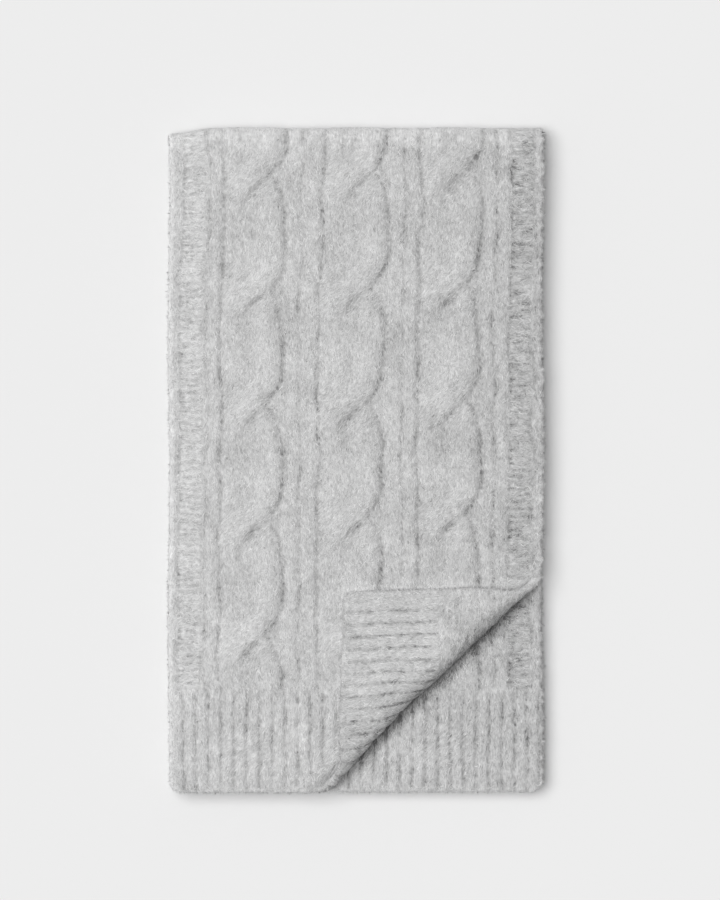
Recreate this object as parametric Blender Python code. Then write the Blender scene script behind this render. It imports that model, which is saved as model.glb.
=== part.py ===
"""A knit scarf, folded in half twice and laid flat, with one corner of its top end turned back.

Metres, +Z up. +X runs across the scarf, +Y along it towards the back folds, and the origin is in
the middle of the footprint on the surface that the scarf lies on. Each stretch of the scarf is
first a flat cut, with x across it and v along it from its hem, and is then laid in place.
"""

import math
from typing import Callable, NamedTuple

import bmesh
import bpy
import numpy as np
from mathutils import Vector
from mathutils.geometry import delaunay_2d_cdt

# The folded scarf
WIDTH = 0.250
FOLDED_LENGTH = 0.444
HALF_LENGTH = FOLDED_LENGTH / 2
WALL = 0.0042
HIDDEN_LAYER = 0.0052
SEAM_GAP = 0.0003
CORNER_RADIUS = 0.0075

# The knitting: heights stand on the plain wall
RIB_PITCH = 0.0085
RIB_FURROW = -0.1157
RIB_HEIGHT = 0.0018
RIB_SLOPE = 0.36
HEM_DEPTH = 0.0665
HEM_BLEND = 0.004
PLAIN_HEIGHT = 0.0016
HIDDEN_HEIGHT = 0.0010
CABLE_HEIGHT = 0.0032
CABLE_PERIOD = 0.0767
STRAND_TIP = 0.0045
WAIST_DEPTH = 0.0104
WAIST_ABOVE = 0.0185
WAIST_BELOW = 0.027
WAIST_CURVE = 1.3
NOTCH_DEPTH = 0.65
NOTCH_EDGE = 0.0035
CABLE_BULGE = 0.0005
CABLE_SHARPNESS = 2.6
CABLE_FULLNESS = 0.6
GROOVE_OUT = 0.0006
GROOVE_WIDTH = 0.0014
CREASE_SPAN = (-0.028, 0.020)
CREASE_REACH = 1.28
CREASE_SLANT = 0.74
CREASE_DROP = 0.62
CREASE_RECOVERY = 0.0075
CREASE_EDGE = 0.0015
CREASE_SWELL = 0.0005
CREASE_ABOVE = 0.0024
CREASE_BELOW = 0.0050
CREASE_MESH_SPAN = (-0.0215, 0.0210)
CREASE_MESH_EDGE = 0.84
REVERSE_FURROW = -0.1104
REVERSE_HEIGHT = 0.0014

# The turned-back corner: a line at 45 degrees, and the section across it
FOLD_SILHOUETTE = -0.0162
FOLD_NOSE_REACH = 0.0058
FOLD_NOSE_RISE = 0.0048
FOLD_LIFT = 0.0024
LIFT_RUN = 0.016
SETTLE_RUN = 0.034
FLAP_SLACK = 0.935
NOSE_TAKE_UP = 0.0150
UNDER_SHOWS = 0.008
FLAP_LEFT = -0.0095
FLAP_TOP = 0.1345
COVERED_HEIGHT = 0.0008

# The folds at the back
BACK_RELIEF = 0.0016
BACK_SMOOTH = 0.6
BACK_TURN = (0.3, 1.35)
LOW_TURN = (1.95, 2.67)
TAIL = 0.010
SAG = 0.0038
SAG_RUN = 0.030
EDGE_WAVE = 0.0006
WAVE_RUN = 0.031
UNDER_INSET = 0.0004

# Fineness of the meshes
SECTION_STEPS = 121
ROW = 0.0092
COARSE = 0.026
EDGE_ROW = 0.0085
FOLD_EDGE_ROW = 0.0036
UNDER_EDGE_ROW = 0.016
FLAP_BODY_ROW = 0.012
COVERED_ROW = 0.016
FOLD_STEP = 0.012
RIB_STEP = 0.0024
TURNED_COLUMNS = 12
OUTER_FOLD_STEPS = 8
INNER_FOLD_STEPS = 6
NOSE_STEPS = 8
CLEAR_OF_RIM = 0.0010
CLEAR_OF_LINES = 0.006
NEAR_CREASE = 0.0024


class Cable(NamedTuple):
    """One cable: where its middle runs, how wide it is, and where its first crossing lies."""

    middle: float
    width: float
    crossing: float


class Furrow(NamedTuple):
    """A furrow between two columns of knitting, and the share of the height that it takes."""

    middle: float
    share: float
    width: float


class Rim(NamedTuple):
    """One loop of the rounded edge: how far in it lies, and its shares of thickness and height."""

    inset: float
    thickness: float
    height: float


class Level(NamedTuple):
    """One level of the hidden layers: its height, and how far in the sides and the front lie."""

    height: float
    side_inset: float
    front_inset: float


class Side(NamedTuple):
    """One side of a cloth wall: the lines and points of its mesh, and its height on the wall."""

    lines: list
    points: list
    height: Callable


CABLES = (
    Cable(-0.0695, 0.0410, 0.0990),
    Cable(-0.0023, 0.0435, 0.1007),
    Cable(0.0620, 0.0410, 0.1032),
)
FURROWS = (
    Furrow(-0.1175, 0.40, 0.0014),
    Furrow(-0.1003, 0.60, 0.0014),
    Furrow(-0.0357, 0.50, 0.0014),
    Furrow(0.0303, 0.50, 0.0014),
    Furrow(0.0915, 0.50, 0.0014),
    Furrow(0.1015, 0.60, 0.0015),
    Furrow(0.1185, 0.50, 0.0015),
)
RIMS = (Rim(0.0, 0.35, 0.35), Rim(0.0009, 0.80, 0.80), Rim(0.0026, 1.0, 1.0))
SEAM_SHARE = 0.25
FURROW_SHOULDER = 0.0024
CABLE_SHARES = (-0.93, -0.72, -0.36, 0.0, 0.36, 0.72, 0.93)
BORDER_COLUMNS = (-0.109, 0.110)
RIB_SHARES = (0.0, RIB_SLOPE, 1.0 - RIB_SLOPE)

LAYER_LEVELS = (
    Level(0.00, 0.0022, 0.0052),
    Level(0.12, 0.0007, 0.0028),
    Level(0.50, 0.0000, 0.0008),
    Level(0.86, 0.0008, 0.0001),
    Level(1.00, 0.0024, 0.0000),
    Level(1.14, 0.0008, 0.0001),
    Level(1.50, 0.0000, 0.0008),
    Level(1.88, 0.0007, 0.0028),
    Level(2.00, 0.0022, 0.0052),
)

# Heights of the middles of the walls, from the surface up
UNDER_MIDDLE = 2 * HIDDEN_LAYER + SEAM_GAP + WALL / 2
TOP_MIDDLE = UNDER_MIDDLE + WALL + HIDDEN_HEIGHT + SEAM_GAP
FLAP_REST = WALL + COVERED_HEIGHT + SEAM_GAP
OUTER_FOLD_RADIUS = (TOP_MIDDLE - WALL / 2) / 2
INNER_FOLD_RADIUS = (UNDER_MIDDLE - 1.5 * HIDDEN_LAYER) / 2
BACK_CENTRE = HALF_LENGTH - OUTER_FOLD_RADIUS - WALL / 2 - BACK_RELIEF
SEAM_Y = BACK_CENTRE - TAIL


def ease(low, high, value):
    """Rises smoothly from 0 at low to 1 at high."""
    share = np.clip((np.asarray(value, float) - low) / (high - low), 0.0, 1.0)
    return share * share * (3.0 - 2.0 * share)


def bell(distance, width):
    """A smooth hump that is 1 in its middle."""
    return np.exp(-((distance / width) ** 2))


def drift(v):
    """How far the columns of knitting wander sideways along the scarf."""
    return 0.0022 * ease(0.300, 0.400, v) - 0.0012 * (1.0 - ease(0.040, 0.290, v))


def below_crossing(cable, v):
    """The distance from the nearest crossing of a cable, positive towards the hem."""
    turns = (v - cable.crossing) / CABLE_PERIOD
    return (np.round(turns) - turns) * CABLE_PERIOD


def cable_sides(cable, v):
    """The left and right edges of a cable, from its middle: the right edge draws in at a crossing."""
    half = cable.width / 2
    below_tip = below_crossing(cable, v) + STRAND_TIP
    above = ease(-WAIST_ABOVE, 0.0, below_tip)
    arch = np.sqrt(np.clip(below_tip / WAIST_BELOW, 0.0, 1.0))
    below = (1.0 - arch) ** WAIST_CURVE
    return -half - CABLE_BULGE, half - WAIST_DEPTH * above * below


def crease_line(cable, below):
    """Where the crease of a crossing runs across the cable, at a distance below that crossing."""
    half = cable.width / 2
    return half - CREASE_REACH * half * ease(*CREASE_SPAN, below)


def cable_height(cable, x, v):
    """The height of a cable: a broad rope, whose crossing strand steps down along a slanting crease."""
    left, right = cable_sides(cable, v)
    across = (x - (left + right) / 2) / ((right - left) / 2)
    crown = np.clip(1.0 - np.abs(across) ** CABLE_SHARPNESS, 0.0, None) ** CABLE_FULLNESS
    height = CABLE_HEIGHT * crown
    for turn in (-1, 0, 1):
        below = below_crossing(cable, v) + turn * CABLE_PERIOD
        past = (x - crease_line(cable, below)) * CREASE_SLANT
        fade = ease(-0.026, -0.012, below) * (1.0 - ease(0.008, 0.030, below))
        recovery = np.exp(-(np.abs(past / CREASE_RECOVERY) ** 1.3))
        step = np.where(past > 0, recovery, bell(past, CREASE_EDGE))
        swell = CREASE_SWELL * bell(past + CREASE_RECOVERY, CREASE_RECOVERY)
        height = height * (1.0 - CREASE_DROP * fade * step) + fade * swell
    return np.where(np.abs(across) < 1.0, height, 0.0)


def body_height(x, v):
    """The height of the cabled body: cables, channels, rib columns and borders."""
    column = x - drift(v)
    height = np.full_like(column, PLAIN_HEIGHT)
    for cable in CABLES:
        from_middle = column - cable.middle
        left, right = cable_sides(cable, v)
        on_cable = (from_middle > left) & (from_middle < right)
        height = np.where(on_cable, cable_height(cable, from_middle, v), height)
        outside = cable.width / 2 + GROOVE_OUT - from_middle
        notch = ease(0.0, NOTCH_EDGE, from_middle - right) * ease(0.0, NOTCH_EDGE, outside)
        height = height * (1.0 - NOTCH_DEPTH * notch)
        height = height * (1.0 - 0.9 * bell(from_middle - right - GROOVE_OUT, GROOVE_WIDTH))
        height = height * (1.0 - 0.8 * bell(from_middle - left + GROOVE_OUT, GROOVE_WIDTH))
    for furrow in FURROWS:
        height = height * (1.0 - furrow.share * bell(column - furrow.middle, furrow.width))
    return height


def rib_height(x, furrow, height):
    """Ribs side by side, with a narrow furrow between each two."""
    turns = (x - furrow) / RIB_PITCH
    return height * ease(0.0, RIB_SLOPE, np.abs(turns - np.round(turns)))


def face_height(x, v):
    """The height of the face of the knitting: the ribbed hem and the body above it."""
    body = ease(HEM_DEPTH - HEM_BLEND, HEM_DEPTH + HEM_BLEND, v)
    return rib_height(x, RIB_FURROW, RIB_HEIGHT) * (1.0 - body) + body_height(x, v) * body


def reverse_height(x, v):
    """The height of the reverse of the knitting: the ribs of the hem, and a nearly plain body."""
    body = ease(HEM_DEPTH - HEM_BLEND, HEM_DEPTH + HEM_BLEND, v)
    ribs = rib_height(x, REVERSE_FURROW, REVERSE_HEIGHT)
    return ribs * (1.0 - body) + 0.7 * REVERSE_HEIGHT * body


def fold_section():
    """The section across the turned-back corner: a lift, the nose, and the flap settling to rest.

    The soft nose takes up more cloth than its path is long.

    Returns the length along the cloth from the start of the nose, the reach from there towards the
    corner, the height of the wall's middle, and the cloth's heading, all as arrays.
    """
    steps = np.linspace(0.0, 1.0, SECTION_STEPS)
    lift = np.column_stack([(steps - 1.0) * LIFT_RUN, FOLD_LIFT * ease(0, 1, steps)])
    turn = math.pi * steps[1:]
    rise = FOLD_LIFT + FOLD_NOSE_RISE * (1.0 - np.cos(turn))
    nose = np.column_stack([FOLD_NOSE_REACH * np.sin(turn), rise])
    peak = FOLD_LIFT + 2 * FOLD_NOSE_RISE
    settle = np.column_stack(
        [-steps[1:] * SETTLE_RUN, peak + (FLAP_REST - peak) * ease(0, 1, steps[1:])]
    )
    far = np.array([[-SETTLE_RUN - WIDTH, FLAP_REST]])
    path = np.vstack([[[-LIFT_RUN - WIDTH * 2, 0.0]], lift, nose, settle, far])
    runs = np.hypot(*np.diff(path, axis=0).T)
    length = np.concatenate([[0.0], np.cumsum(runs)])
    length -= length[len(steps)]
    nose_share = np.clip(length / nose_length(), 0.0, 1.0)
    flap = np.maximum(length - nose_length(), 0.0)
    length += NOSE_TAKE_UP * nose_share + flap * (1.0 / FLAP_SLACK - 1.0)
    heading = np.unwrap(np.arctan2(np.gradient(path[:, 1], length), np.gradient(path[:, 0], length)))
    heading[0] = 0.0
    heading[-1] = math.pi
    return length, path[:, 0], path[:, 1], heading


def nose_length():
    """The length of the path round the half ellipse of the fold's nose."""
    turn = np.linspace(0.0, math.pi, 3 * SECTION_STEPS)
    path = np.column_stack([FOLD_NOSE_REACH * np.sin(turn), FOLD_NOSE_RISE * np.cos(turn)])
    return float(np.hypot(*np.diff(path, axis=0).T).sum())


SECTION = fold_section()
NOSE_CLOTH = nose_length() + NOSE_TAKE_UP
FOLD_START = FOLD_SILHOUETTE - FOLD_NOSE_REACH - WALL / 2 - REVERSE_HEIGHT / 2


def past_fold(x, v):
    """How far a point of the flat cut lies past the start of the corner's fold."""
    return (x - v) / math.sqrt(2.0) - FOLD_START


def settled(points):
    """Lets the back fold sag at its left corner, and gives the long edges a slight wave."""
    x, y, z = points.T
    near_corner = 1.0 - ease(-WIDTH / 2, -WIDTH / 2 + SAG_RUN, x)
    low = near_corner * ease(HALF_LENGTH - 3 * SAG_RUN, HALF_LENGTH, y)
    edge = np.abs(x) / (WIDTH / 2)
    wave = EDGE_WAVE * np.sin(y / WAVE_RUN + 1.3 * np.sign(x)) * edge**6
    return np.column_stack([x + wave * np.sign(x), y - SAG * low, z])


def lay_top(x, v, height):
    """Lays the top layer: the turned-back corner, the flat stretch and the outer fold to the surface."""
    length, reach, rise, heading = SECTION
    past = past_fold(x, v)
    turned = np.interp(past, length, heading)
    move = np.interp(past, length, reach) - past - height * np.sin(turned)
    across = x + move / math.sqrt(2.0)
    along = v - HALF_LENGTH - move / math.sqrt(2.0)
    up = TOP_MIDDLE + np.interp(past, length, rise) + height * np.cos(turned)
    return back_fold(across, along, up - TOP_MIDDLE, TOP_MIDDLE, OUTER_FOLD_RADIUS, BACK_CENTRE)


def lay_under(x, v, height):
    """Lays the under layer: the flat stretch and the inner fold."""
    return back_fold(x, v - HALF_LENGTH, height, UNDER_MIDDLE, INNER_FOLD_RADIUS, BACK_CENTRE)


def back_fold(x, along, height, middle, radius, centre):
    """Turns what runs past the fold's centre down and under, round a half circle."""
    past = np.clip(along - centre, 0.0, None)
    angle = np.clip(past / radius, 0.0, math.pi)
    tail = np.clip(past - math.pi * radius, 0.0, None)
    y = np.where(along > centre, centre + (radius + height) * np.sin(angle) - tail, along)
    z = middle - radius + (radius + height) * np.cos(angle)
    return settled(np.column_stack([x, y, z]))


def top_face_height(x, v):
    """The face of the top layer: plain where the flap covers it, low round the back fold."""
    uncovered = 1.0 - ease(FLAP_LEFT, FLAP_LEFT + 0.006, x) * (1.0 - ease(FLAP_TOP - 0.006, FLAP_TOP, v))
    past = past_fold(x, v)
    shown = uncovered * (1.0 - ease(-0.010, -0.002, past))
    angle = (v - HALF_LENGTH - BACK_CENTRE) / OUTER_FOLD_RADIUS
    raised = 1.0 - BACK_SMOOTH * ease(*BACK_TURN, angle) - (1.0 - BACK_SMOOTH) * ease(*LOW_TURN, angle)
    plain = COVERED_HEIGHT * (1.0 - ease(-0.006, 0.0, past)) * (1.0 - shown)
    return (face_height(x, v) * shown + plain) * raised


def top_reverse_height(x, v):
    """The reverse of the top layer: raised only on the turned-back corner."""
    return reverse_height(x, v) * ease(-0.001, 0.004, past_fold(x, v))


def under_face_height(x, v):
    """The face of the under layer: raised where the turned-back corner shows it, and along its hem."""
    height = face_height(x, v)
    shown = ease(0.0, UNDER_SHOWS, past_fold(x, v))
    edge = 1.0 - ease(0.003, 0.008, v)
    hidden = HIDDEN_HEIGHT * (1.0 - edge) + np.minimum(height, HIDDEN_HEIGHT) * edge
    flat = v - HALF_LENGTH < BACK_CENTRE
    return np.where(flat, height * shown + hidden * (1.0 - shown), 0.0)


def plain_height(x, v):
    """A plain side: no height on the wall."""
    return np.zeros_like(np.asarray(x, float) + v)


class Cut:
    """The flat cut of a stretch: a long rectangle with rounded hem corners and a square seam end."""

    def __init__(self, half_width: float, length: float, hem_columns, rows) -> None:
        """Keeps the sizes of the cut and the places of its rim's points."""
        self.half = half_width
        self.length = length
        straight = half_width - CORNER_RADIUS
        self.hem_columns = [x for x in hem_columns if abs(x) < straight - 0.001]
        self.rows = [v for v in rows if CORNER_RADIUS + 0.001 < v < length - 0.002]

    def loop(self, inset: float) -> list:
        """The outline, drawn in by inset, counterclockwise from the left end of the hem."""
        side = self.half - inset
        seam = self.length - inset * SEAM_SHARE
        centre = self.half - CORNER_RADIUS
        radius = CORNER_RADIUS - inset
        arc = [
            (centre + radius * math.sin(turn), CORNER_RADIUS - radius * math.cos(turn))
            for turn in np.linspace(0.0, math.pi / 2, 5)
        ]
        across = np.linspace(side, -side, 12)
        points = [(x, inset) for x in self.hem_columns] + arc
        points += [(side, v) for v in self.rows]
        points += [(x, seam) for x in across]
        points += [(-side, v) for v in reversed(self.rows)]
        points += [(-x, v) for x, v in reversed(arc)]
        return points

    def inside(self, x: float, v: float) -> bool:
        """Whether a point lies clear of the rounded rim."""
        margin = RIMS[-1].inset + CLEAR_OF_RIM
        corner = self.half - CORNER_RADIUS
        if v < CORNER_RADIUS and abs(x) > corner:
            return math.hypot(abs(x) - corner, CORNER_RADIUS - v) < CORNER_RADIUS - margin
        return abs(x) < self.half - margin and margin < v < self.length - margin

    def clip(self, line) -> list:
        """The stretches of a line that lie clear of the rim."""
        runs = [[]]
        for x, v in line:
            if self.inside(x, v):
                runs[-1].append((x, v))
            elif runs[-1]:
                runs.append([])
        return [run for run in runs if len(run) > 1]


def fill(loop, lines, points):
    """Triangulates the area inside a loop, along the lines and through the points.

    Returns the flat points, the triangles, and the index of each of the loop's own points.
    """
    flat = [Vector(point) for point in loop]
    edges = [(i, (i + 1) % len(loop)) for i in range(len(loop))]
    for line in lines:
        edges += [(len(flat) + i, len(flat) + i + 1) for i in range(len(line) - 1)]
        flat += [Vector(point) for point in line]
    flat += [Vector(point) for point in points]
    found, _, faces, origins, _, _ = delaunay_2d_cdt(flat, edges, [], 1, 1e-6)
    own = [0] * len(loop)
    for index, sources in enumerate(origins):
        for source in sources:
            if source < len(loop):
                own[source] = index
    return np.array([tuple(point) for point in found]), faces, own


def cloth_wall(name, cut, face, reverse, lay):
    """Builds a wall of cloth: two sides over the same cut, joined round a rounded rim.

    Args:
        name: the name of the object.
        cut: the flat cut.
        face: the side that is up where the cloth lies flat.
        reverse: the other side.
        lay: places flat points and heights over the wall's middle in space.
    """
    points, faces, rims = [], [], []
    for side, sign in ((face, 1), (reverse, -1)):
        loops = []
        for rim in RIMS[:-1]:
            loop = np.array(cut.loop(rim.inset))
            height = rim.thickness * WALL / 2 + rim.height * side.height(*loop.T)
            loops.append(list(range(len(points), len(points) + len(loop))))
            points.extend(lay(*loop.T, sign * height))
        flat, triangles, own = fill(cut.loop(RIMS[-1].inset), side.lines, side.points)
        first = len(points)
        points.extend(lay(*flat.T, sign * (WALL / 2 + side.height(*flat.T))))
        loops.append([first + index for index in own])
        faces += [[first + index for index in triangle[::sign]] for triangle in triangles]
        for outer, inner in zip(loops, loops[1:]):
            faces += [quad[::sign] for quad in quads(outer, inner)]
        rims.append(loops[0])
    faces += quads(rims[1], rims[0])
    return add_object(name, points, faces)


def quads(outer, inner):
    """The faces between two closed loops of the same count."""
    count = len(outer)
    return [[outer[i], outer[(i + 1) % count], inner[(i + 1) % count], inner[i]] for i in range(count)]


def add_object(name, points, faces):
    """Makes a smooth-shaded mesh object, facing outwards."""
    mesh = bpy.data.meshes.new(name)
    build = bmesh.new()
    corners = [build.verts.new(point) for point in points]
    for face in faces:
        build.faces.new([corners[index] for index in face])
    bmesh.ops.recalc_face_normals(build, faces=build.faces)
    bmesh.ops.triangulate(build, faces=[face for face in build.faces if len(face.verts) > 3])
    build.to_mesh(mesh)
    build.free()
    mesh.shade_smooth()
    made = bpy.data.objects.new(name, mesh)
    bpy.context.scene.collection.objects.link(made)
    return made


def rib_columns(furrow):
    """Where the furrows and the shoulders of the ribs run, from edge to edge."""
    first = math.floor((-WIDTH / 2 - furrow) / RIB_PITCH)
    last = math.ceil((WIDTH / 2 - furrow) / RIB_PITCH)
    return [furrow + (rib + share) * RIB_PITCH for rib in range(first, last) for share in RIB_SHARES]


def rib_lines(cut, furrow, keep):
    """Lines along the furrows and shoulders of the ribs, over the part of the hem that keep says."""
    top = HEM_DEPTH - HEM_BLEND
    lines = []
    for x in rib_columns(furrow):
        steps = [(x, float(v)) for v in np.arange(top, 0.0, -RIB_STEP)]
        line = [point for point in steps if keep(*point) and cut.inside(*point)]
        if len(line) > 1:
            middle = [point for point in line[1:-1] if abs(point[1] - top / 2) < RIB_STEP / 2]
            lines.append([line[-1], *middle, line[0]])
    return lines


def fold_lines(cut, places):
    """Lines along the corner's fold, at places past its start."""
    lines = []
    steps = np.arange(-WIDTH, WIDTH * 2, FOLD_STEP)
    for past in places:
        across = (FOLD_START + past) / math.sqrt(2.0)
        lines += cut.clip([(across + step, -across + step) for step in steps])
    return lines


def lattice(cut, spacing):
    """Points spread evenly over the cut."""
    across = np.linspace(-cut.half, cut.half, round(2 * cut.half / spacing) + 1)
    along = np.linspace(0.0, cut.length, round(cut.length / spacing) + 1)
    return [(x, v) for x in across for v in along if cut.inside(x, v)]


def cross_lines(cut, rows):
    """Lines straight across the cut, at these rows."""
    side = cut.half - 2 * RIMS[-1].inset
    columns = np.linspace(-side, side, TURNED_COLUMNS)
    return [run for v in rows for run in cut.clip([(x, v) for x in columns])]


def covered(x, v):
    """Whether a point of the top layer's face is hidden by the flap or in the fold."""
    return past_fold(x, v) > -0.004 or (x > FLAP_LEFT + 0.008 and v < FLAP_TOP - 0.008)


def crease_lines():
    """Three lines along each crease of each cable: above it, in it and below it."""
    lines = []
    for cable in CABLES:
        crossings = math.floor((HALF_LENGTH + BACK_CENTRE - cable.crossing) / CABLE_PERIOD) + 1
        for crossing in range(crossings):
            for past in (-CREASE_ABOVE, 0.0, CREASE_BELOW):
                line = []
                for below in np.linspace(*CREASE_MESH_SPAN, 7):
                    v = cable.crossing + crossing * CABLE_PERIOD - below
                    x = cable.middle + crease_line(cable, below) + past + drift(v)
                    edge = cable.middle + CREASE_MESH_EDGE * cable.width / 2 + drift(v)
                    if x < edge and not covered(x, v):
                        line.append((float(x), float(v)))
                if len(line) > 1:
                    lines.append(line)
    return lines


def body_lines(rows):
    """Lines along the edges of the cables and the furrows, with a shoulder on each side."""
    columns = []
    for furrow in FURROWS:
        for step in (-FURROW_SHOULDER, 0.0, FURROW_SHOULDER):
            columns.append(lambda v, x=furrow.middle + step: x)
    for cable in CABLES:
        for side, out in ((0, -1), (1, 1)):
            for step in (GROOVE_OUT, GROOVE_OUT + FURROW_SHOULDER):
                columns.append(
                    lambda v, c=cable, s=side, o=out * step: c.middle + cable_sides(c, v)[s] + o
                )
    columns += [lambda v, x=x: x for x in BORDER_COLUMNS]
    lines = []
    for column in columns:
        run = []
        for v in rows:
            x = float(column(v) + drift(v))
            if covered(x, v):
                break
            run.append((x, float(v)))
        lines.append(run[::-1])
    return lines


def cable_points(rows, creases):
    """Points over the rounded backs of the cables, clear of the creases."""
    near = np.array([point for line in creases for point in line])
    points = []
    for cable in CABLES:
        for v in rows:
            left, right = cable_sides(cable, v)
            for share in CABLE_SHARES:
                x = cable.middle + (left + right) / 2 + share * (right - left) / 2 + drift(v)
                away = np.hypot(near[:, 0] - x, near[:, 1] - v).min()
                if away > NEAR_CREASE and not covered(x, v):
                    points.append((float(x), float(v)))
    return points


def fold_rows(radius, steps):
    """Rows round a back fold, from its start to its end on the other side."""
    turns = np.linspace(0.0, math.pi, steps + 1)
    return [float(HALF_LENGTH + BACK_CENTRE + radius * turn) for turn in turns]


def body_rows():
    """The rows of the body's mesh from the back fold down to the hem, closer together round the fold."""
    fold = HALF_LENGTH + BACK_CENTRE
    flat = np.linspace(fold, HEM_DEPTH + HEM_BLEND, round((fold - HEM_DEPTH) / ROW) + 1)
    return fold_rows(OUTER_FOLD_RADIUS, OUTER_FOLD_STEPS)[:0:-1] + [float(v) for v in flat]


def top_edge_rows():
    """The rows of the top layer's rim, closer together at the corner's fold and the back."""
    fold = HALF_LENGTH + BACK_CENTRE
    hem_rows = np.arange(0.012, 0.070, EDGE_ROW)
    corner_rows = np.arange(0.074, 0.184, FOLD_EDGE_ROW)
    body = np.arange(0.188, fold - EDGE_ROW / 2, EDGE_ROW)
    return [*hem_rows, *corner_rows, *body, *fold_rows(OUTER_FOLD_RADIUS, OUTER_FOLD_STEPS)]


def nose_places():
    """Where the mesh lines run along the corner's fold: the lift, the nose and the settling flap."""
    lift = np.linspace(-LIFT_RUN, -LIFT_RUN / 4, 3)
    nose = np.linspace(0.0, NOSE_CLOTH, NOSE_STEPS + 1)
    settle = NOSE_CLOTH + SETTLE_RUN / FLAP_SLACK * np.linspace(0.2, 1.0, 5)
    return [*lift, *nose, *settle]


def top_layer():
    """The end on top: ribbed hem, cabled body, turned-back corner and the outer fold at the back."""
    fold = HALF_LENGTH + BACK_CENTRE
    length = fold + math.pi * OUTER_FOLD_RADIUS + TAIL - SEAM_GAP
    cut = Cut(WIDTH / 2, length, rib_columns(RIB_FURROW), top_edge_rows())
    rows = body_rows()
    creases = crease_lines()
    folds = fold_lines(cut, nose_places())
    ribs = rib_lines(
        cut, RIB_FURROW, lambda x, v: past_fold(x, v) < -0.002 and x < FLAP_LEFT + 0.006
    )
    face_lines = ribs + [run for line in body_lines(rows) + creases for run in cut.clip(line)] + folds
    flap_end = NOSE_CLOTH + SETTLE_RUN / FLAP_SLACK + CLEAR_OF_LINES
    coarse = lattice(cut, COARSE)
    face_points = [point for point in cable_points(rows, creases) if cut.inside(*point)]
    face_points += [
        point for point in lattice(cut, COVERED_ROW)
        if covered(*point) and past_fold(*point) < -LIFT_RUN - CLEAR_OF_LINES / 2
    ]
    face_points += [point for point in coarse if past_fold(*point) > flap_end]
    reverse_lines = rib_lines(cut, REVERSE_FURROW, lambda x, v: past_fold(x, v) > 0.0) + folds
    reverse_lines += cross_lines(cut, fold_rows(OUTER_FOLD_RADIUS, OUTER_FOLD_STEPS))
    reverse_points = [
        point for point in coarse
        if past_fold(*point) < -LIFT_RUN - CLEAR_OF_LINES and point[1] < fold - CLEAR_OF_LINES
    ]
    reverse_points += [
        point for point in lattice(cut, FLAP_BODY_ROW)
        if past_fold(*point) > CLEAR_OF_LINES and point[1] > HEM_DEPTH
    ]
    face = Side(face_lines, face_points, top_face_height)
    reverse = Side(reverse_lines, reverse_points, top_reverse_height)
    return cloth_wall("top_layer", cut, face, reverse, lay_top)


def under_layer():
    """The other end, below: ribbed hem, rib columns where the turned corner shows them, inner fold."""
    fold = HALF_LENGTH + BACK_CENTRE
    length = fold + math.pi * INNER_FOLD_RADIUS + TAIL - SEAM_GAP
    turned = fold_rows(INNER_FOLD_RADIUS, INNER_FOLD_STEPS)
    rows = [*np.arange(0.012, fold - UNDER_EDGE_ROW / 2, UNDER_EDGE_ROW), *turned]
    cut = Cut(WIDTH / 2 - 2 * UNDER_INSET, length, rib_columns(RIB_FURROW), rows)
    lines = rib_lines(cut, RIB_FURROW, lambda x, v: past_fold(x, v) > UNDER_SHOWS)
    for furrow in FURROWS[-3:]:
        for step in (-FURROW_SHOULDER, 0.0, FURROW_SHOULDER):
            line = [(float(furrow.middle + step + drift(v)), v) for v in body_rows()]
            shown = [point for point in line if past_fold(*point) > UNDER_SHOWS]
            lines += cut.clip(shown)
    folded = cross_lines(cut, turned)
    flat = [point for point in lattice(cut, COARSE) if point[1] < fold - CLEAR_OF_LINES]
    above = [point for point in flat if past_fold(*point) < -CLEAR_OF_LINES]
    face = Side(lines + folded + fold_lines(cut, (0.0, UNDER_SHOWS)), above, under_face_height)
    reverse = Side(folded, flat, plain_height)
    return cloth_wall("under_layer", cut, face, reverse, lay_under)


def layer_loop(level, rows, columns):
    """The outline of the hidden layers at one level, counterclockwise from the left front corner."""
    side = WIDTH / 2 - UNDER_INSET - level.side_inset
    front = -HALF_LENGTH + UNDER_INSET + level.front_inset
    radius = CORNER_RADIUS
    arc = []
    for turn in np.linspace(0.0, math.pi / 2, 5):
        arc.append(
            (side - radius * (1.0 - math.sin(turn)), front + radius * (1.0 - math.cos(turn)))
        )
    points = [(x, front) for x in columns] + arc
    points += [(side, y) for y in rows] + [(side, SEAM_Y), (-side, SEAM_Y)]
    points += [(-side, y) for y in reversed(rows)] + [(-x, y) for x, y in reversed(arc)]
    return points


def inner_layers():
    """The two hidden layers as one rounded solid, grooved between them, with the front fold."""
    rows = list(np.linspace(-HALF_LENGTH + 0.020, SEAM_Y - 0.020, 22))
    columns = list(np.linspace(-WIDTH / 2 + 0.014, WIDTH / 2 - 0.014, 14))
    points, faces, loops = [], [], []
    inner = [(x, y) for x in columns[::2] for y in rows[1:-1:2]]
    for level in LAYER_LEVELS:
        loop = np.array(layer_loop(level, rows, columns))
        loops.append(list(range(len(points), len(points) + len(loop))))
        height = np.full(len(loop), level.height * HIDDEN_LAYER)
        points.extend(settled(np.column_stack([loop, height])))
    for lower, upper in zip(loops, loops[1:]):
        faces += quads(lower, upper)
    for level, loop, sign in ((LAYER_LEVELS[0], loops[0], -1), (LAYER_LEVELS[-1], loops[-1], 1)):
        flat, triangles, own = fill(layer_loop(level, rows, columns), [], inner)
        place = dict(zip(own, loop))
        for index, point in enumerate(flat):
            if index not in place:
                place[index] = len(points)
                points.extend(settled(np.array([[*point, level.height * HIDDEN_LAYER]])))
        faces += [[place[index] for index in triangle[::sign]] for triangle in triangles]
    return add_object("inner_layers", points, faces)


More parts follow.
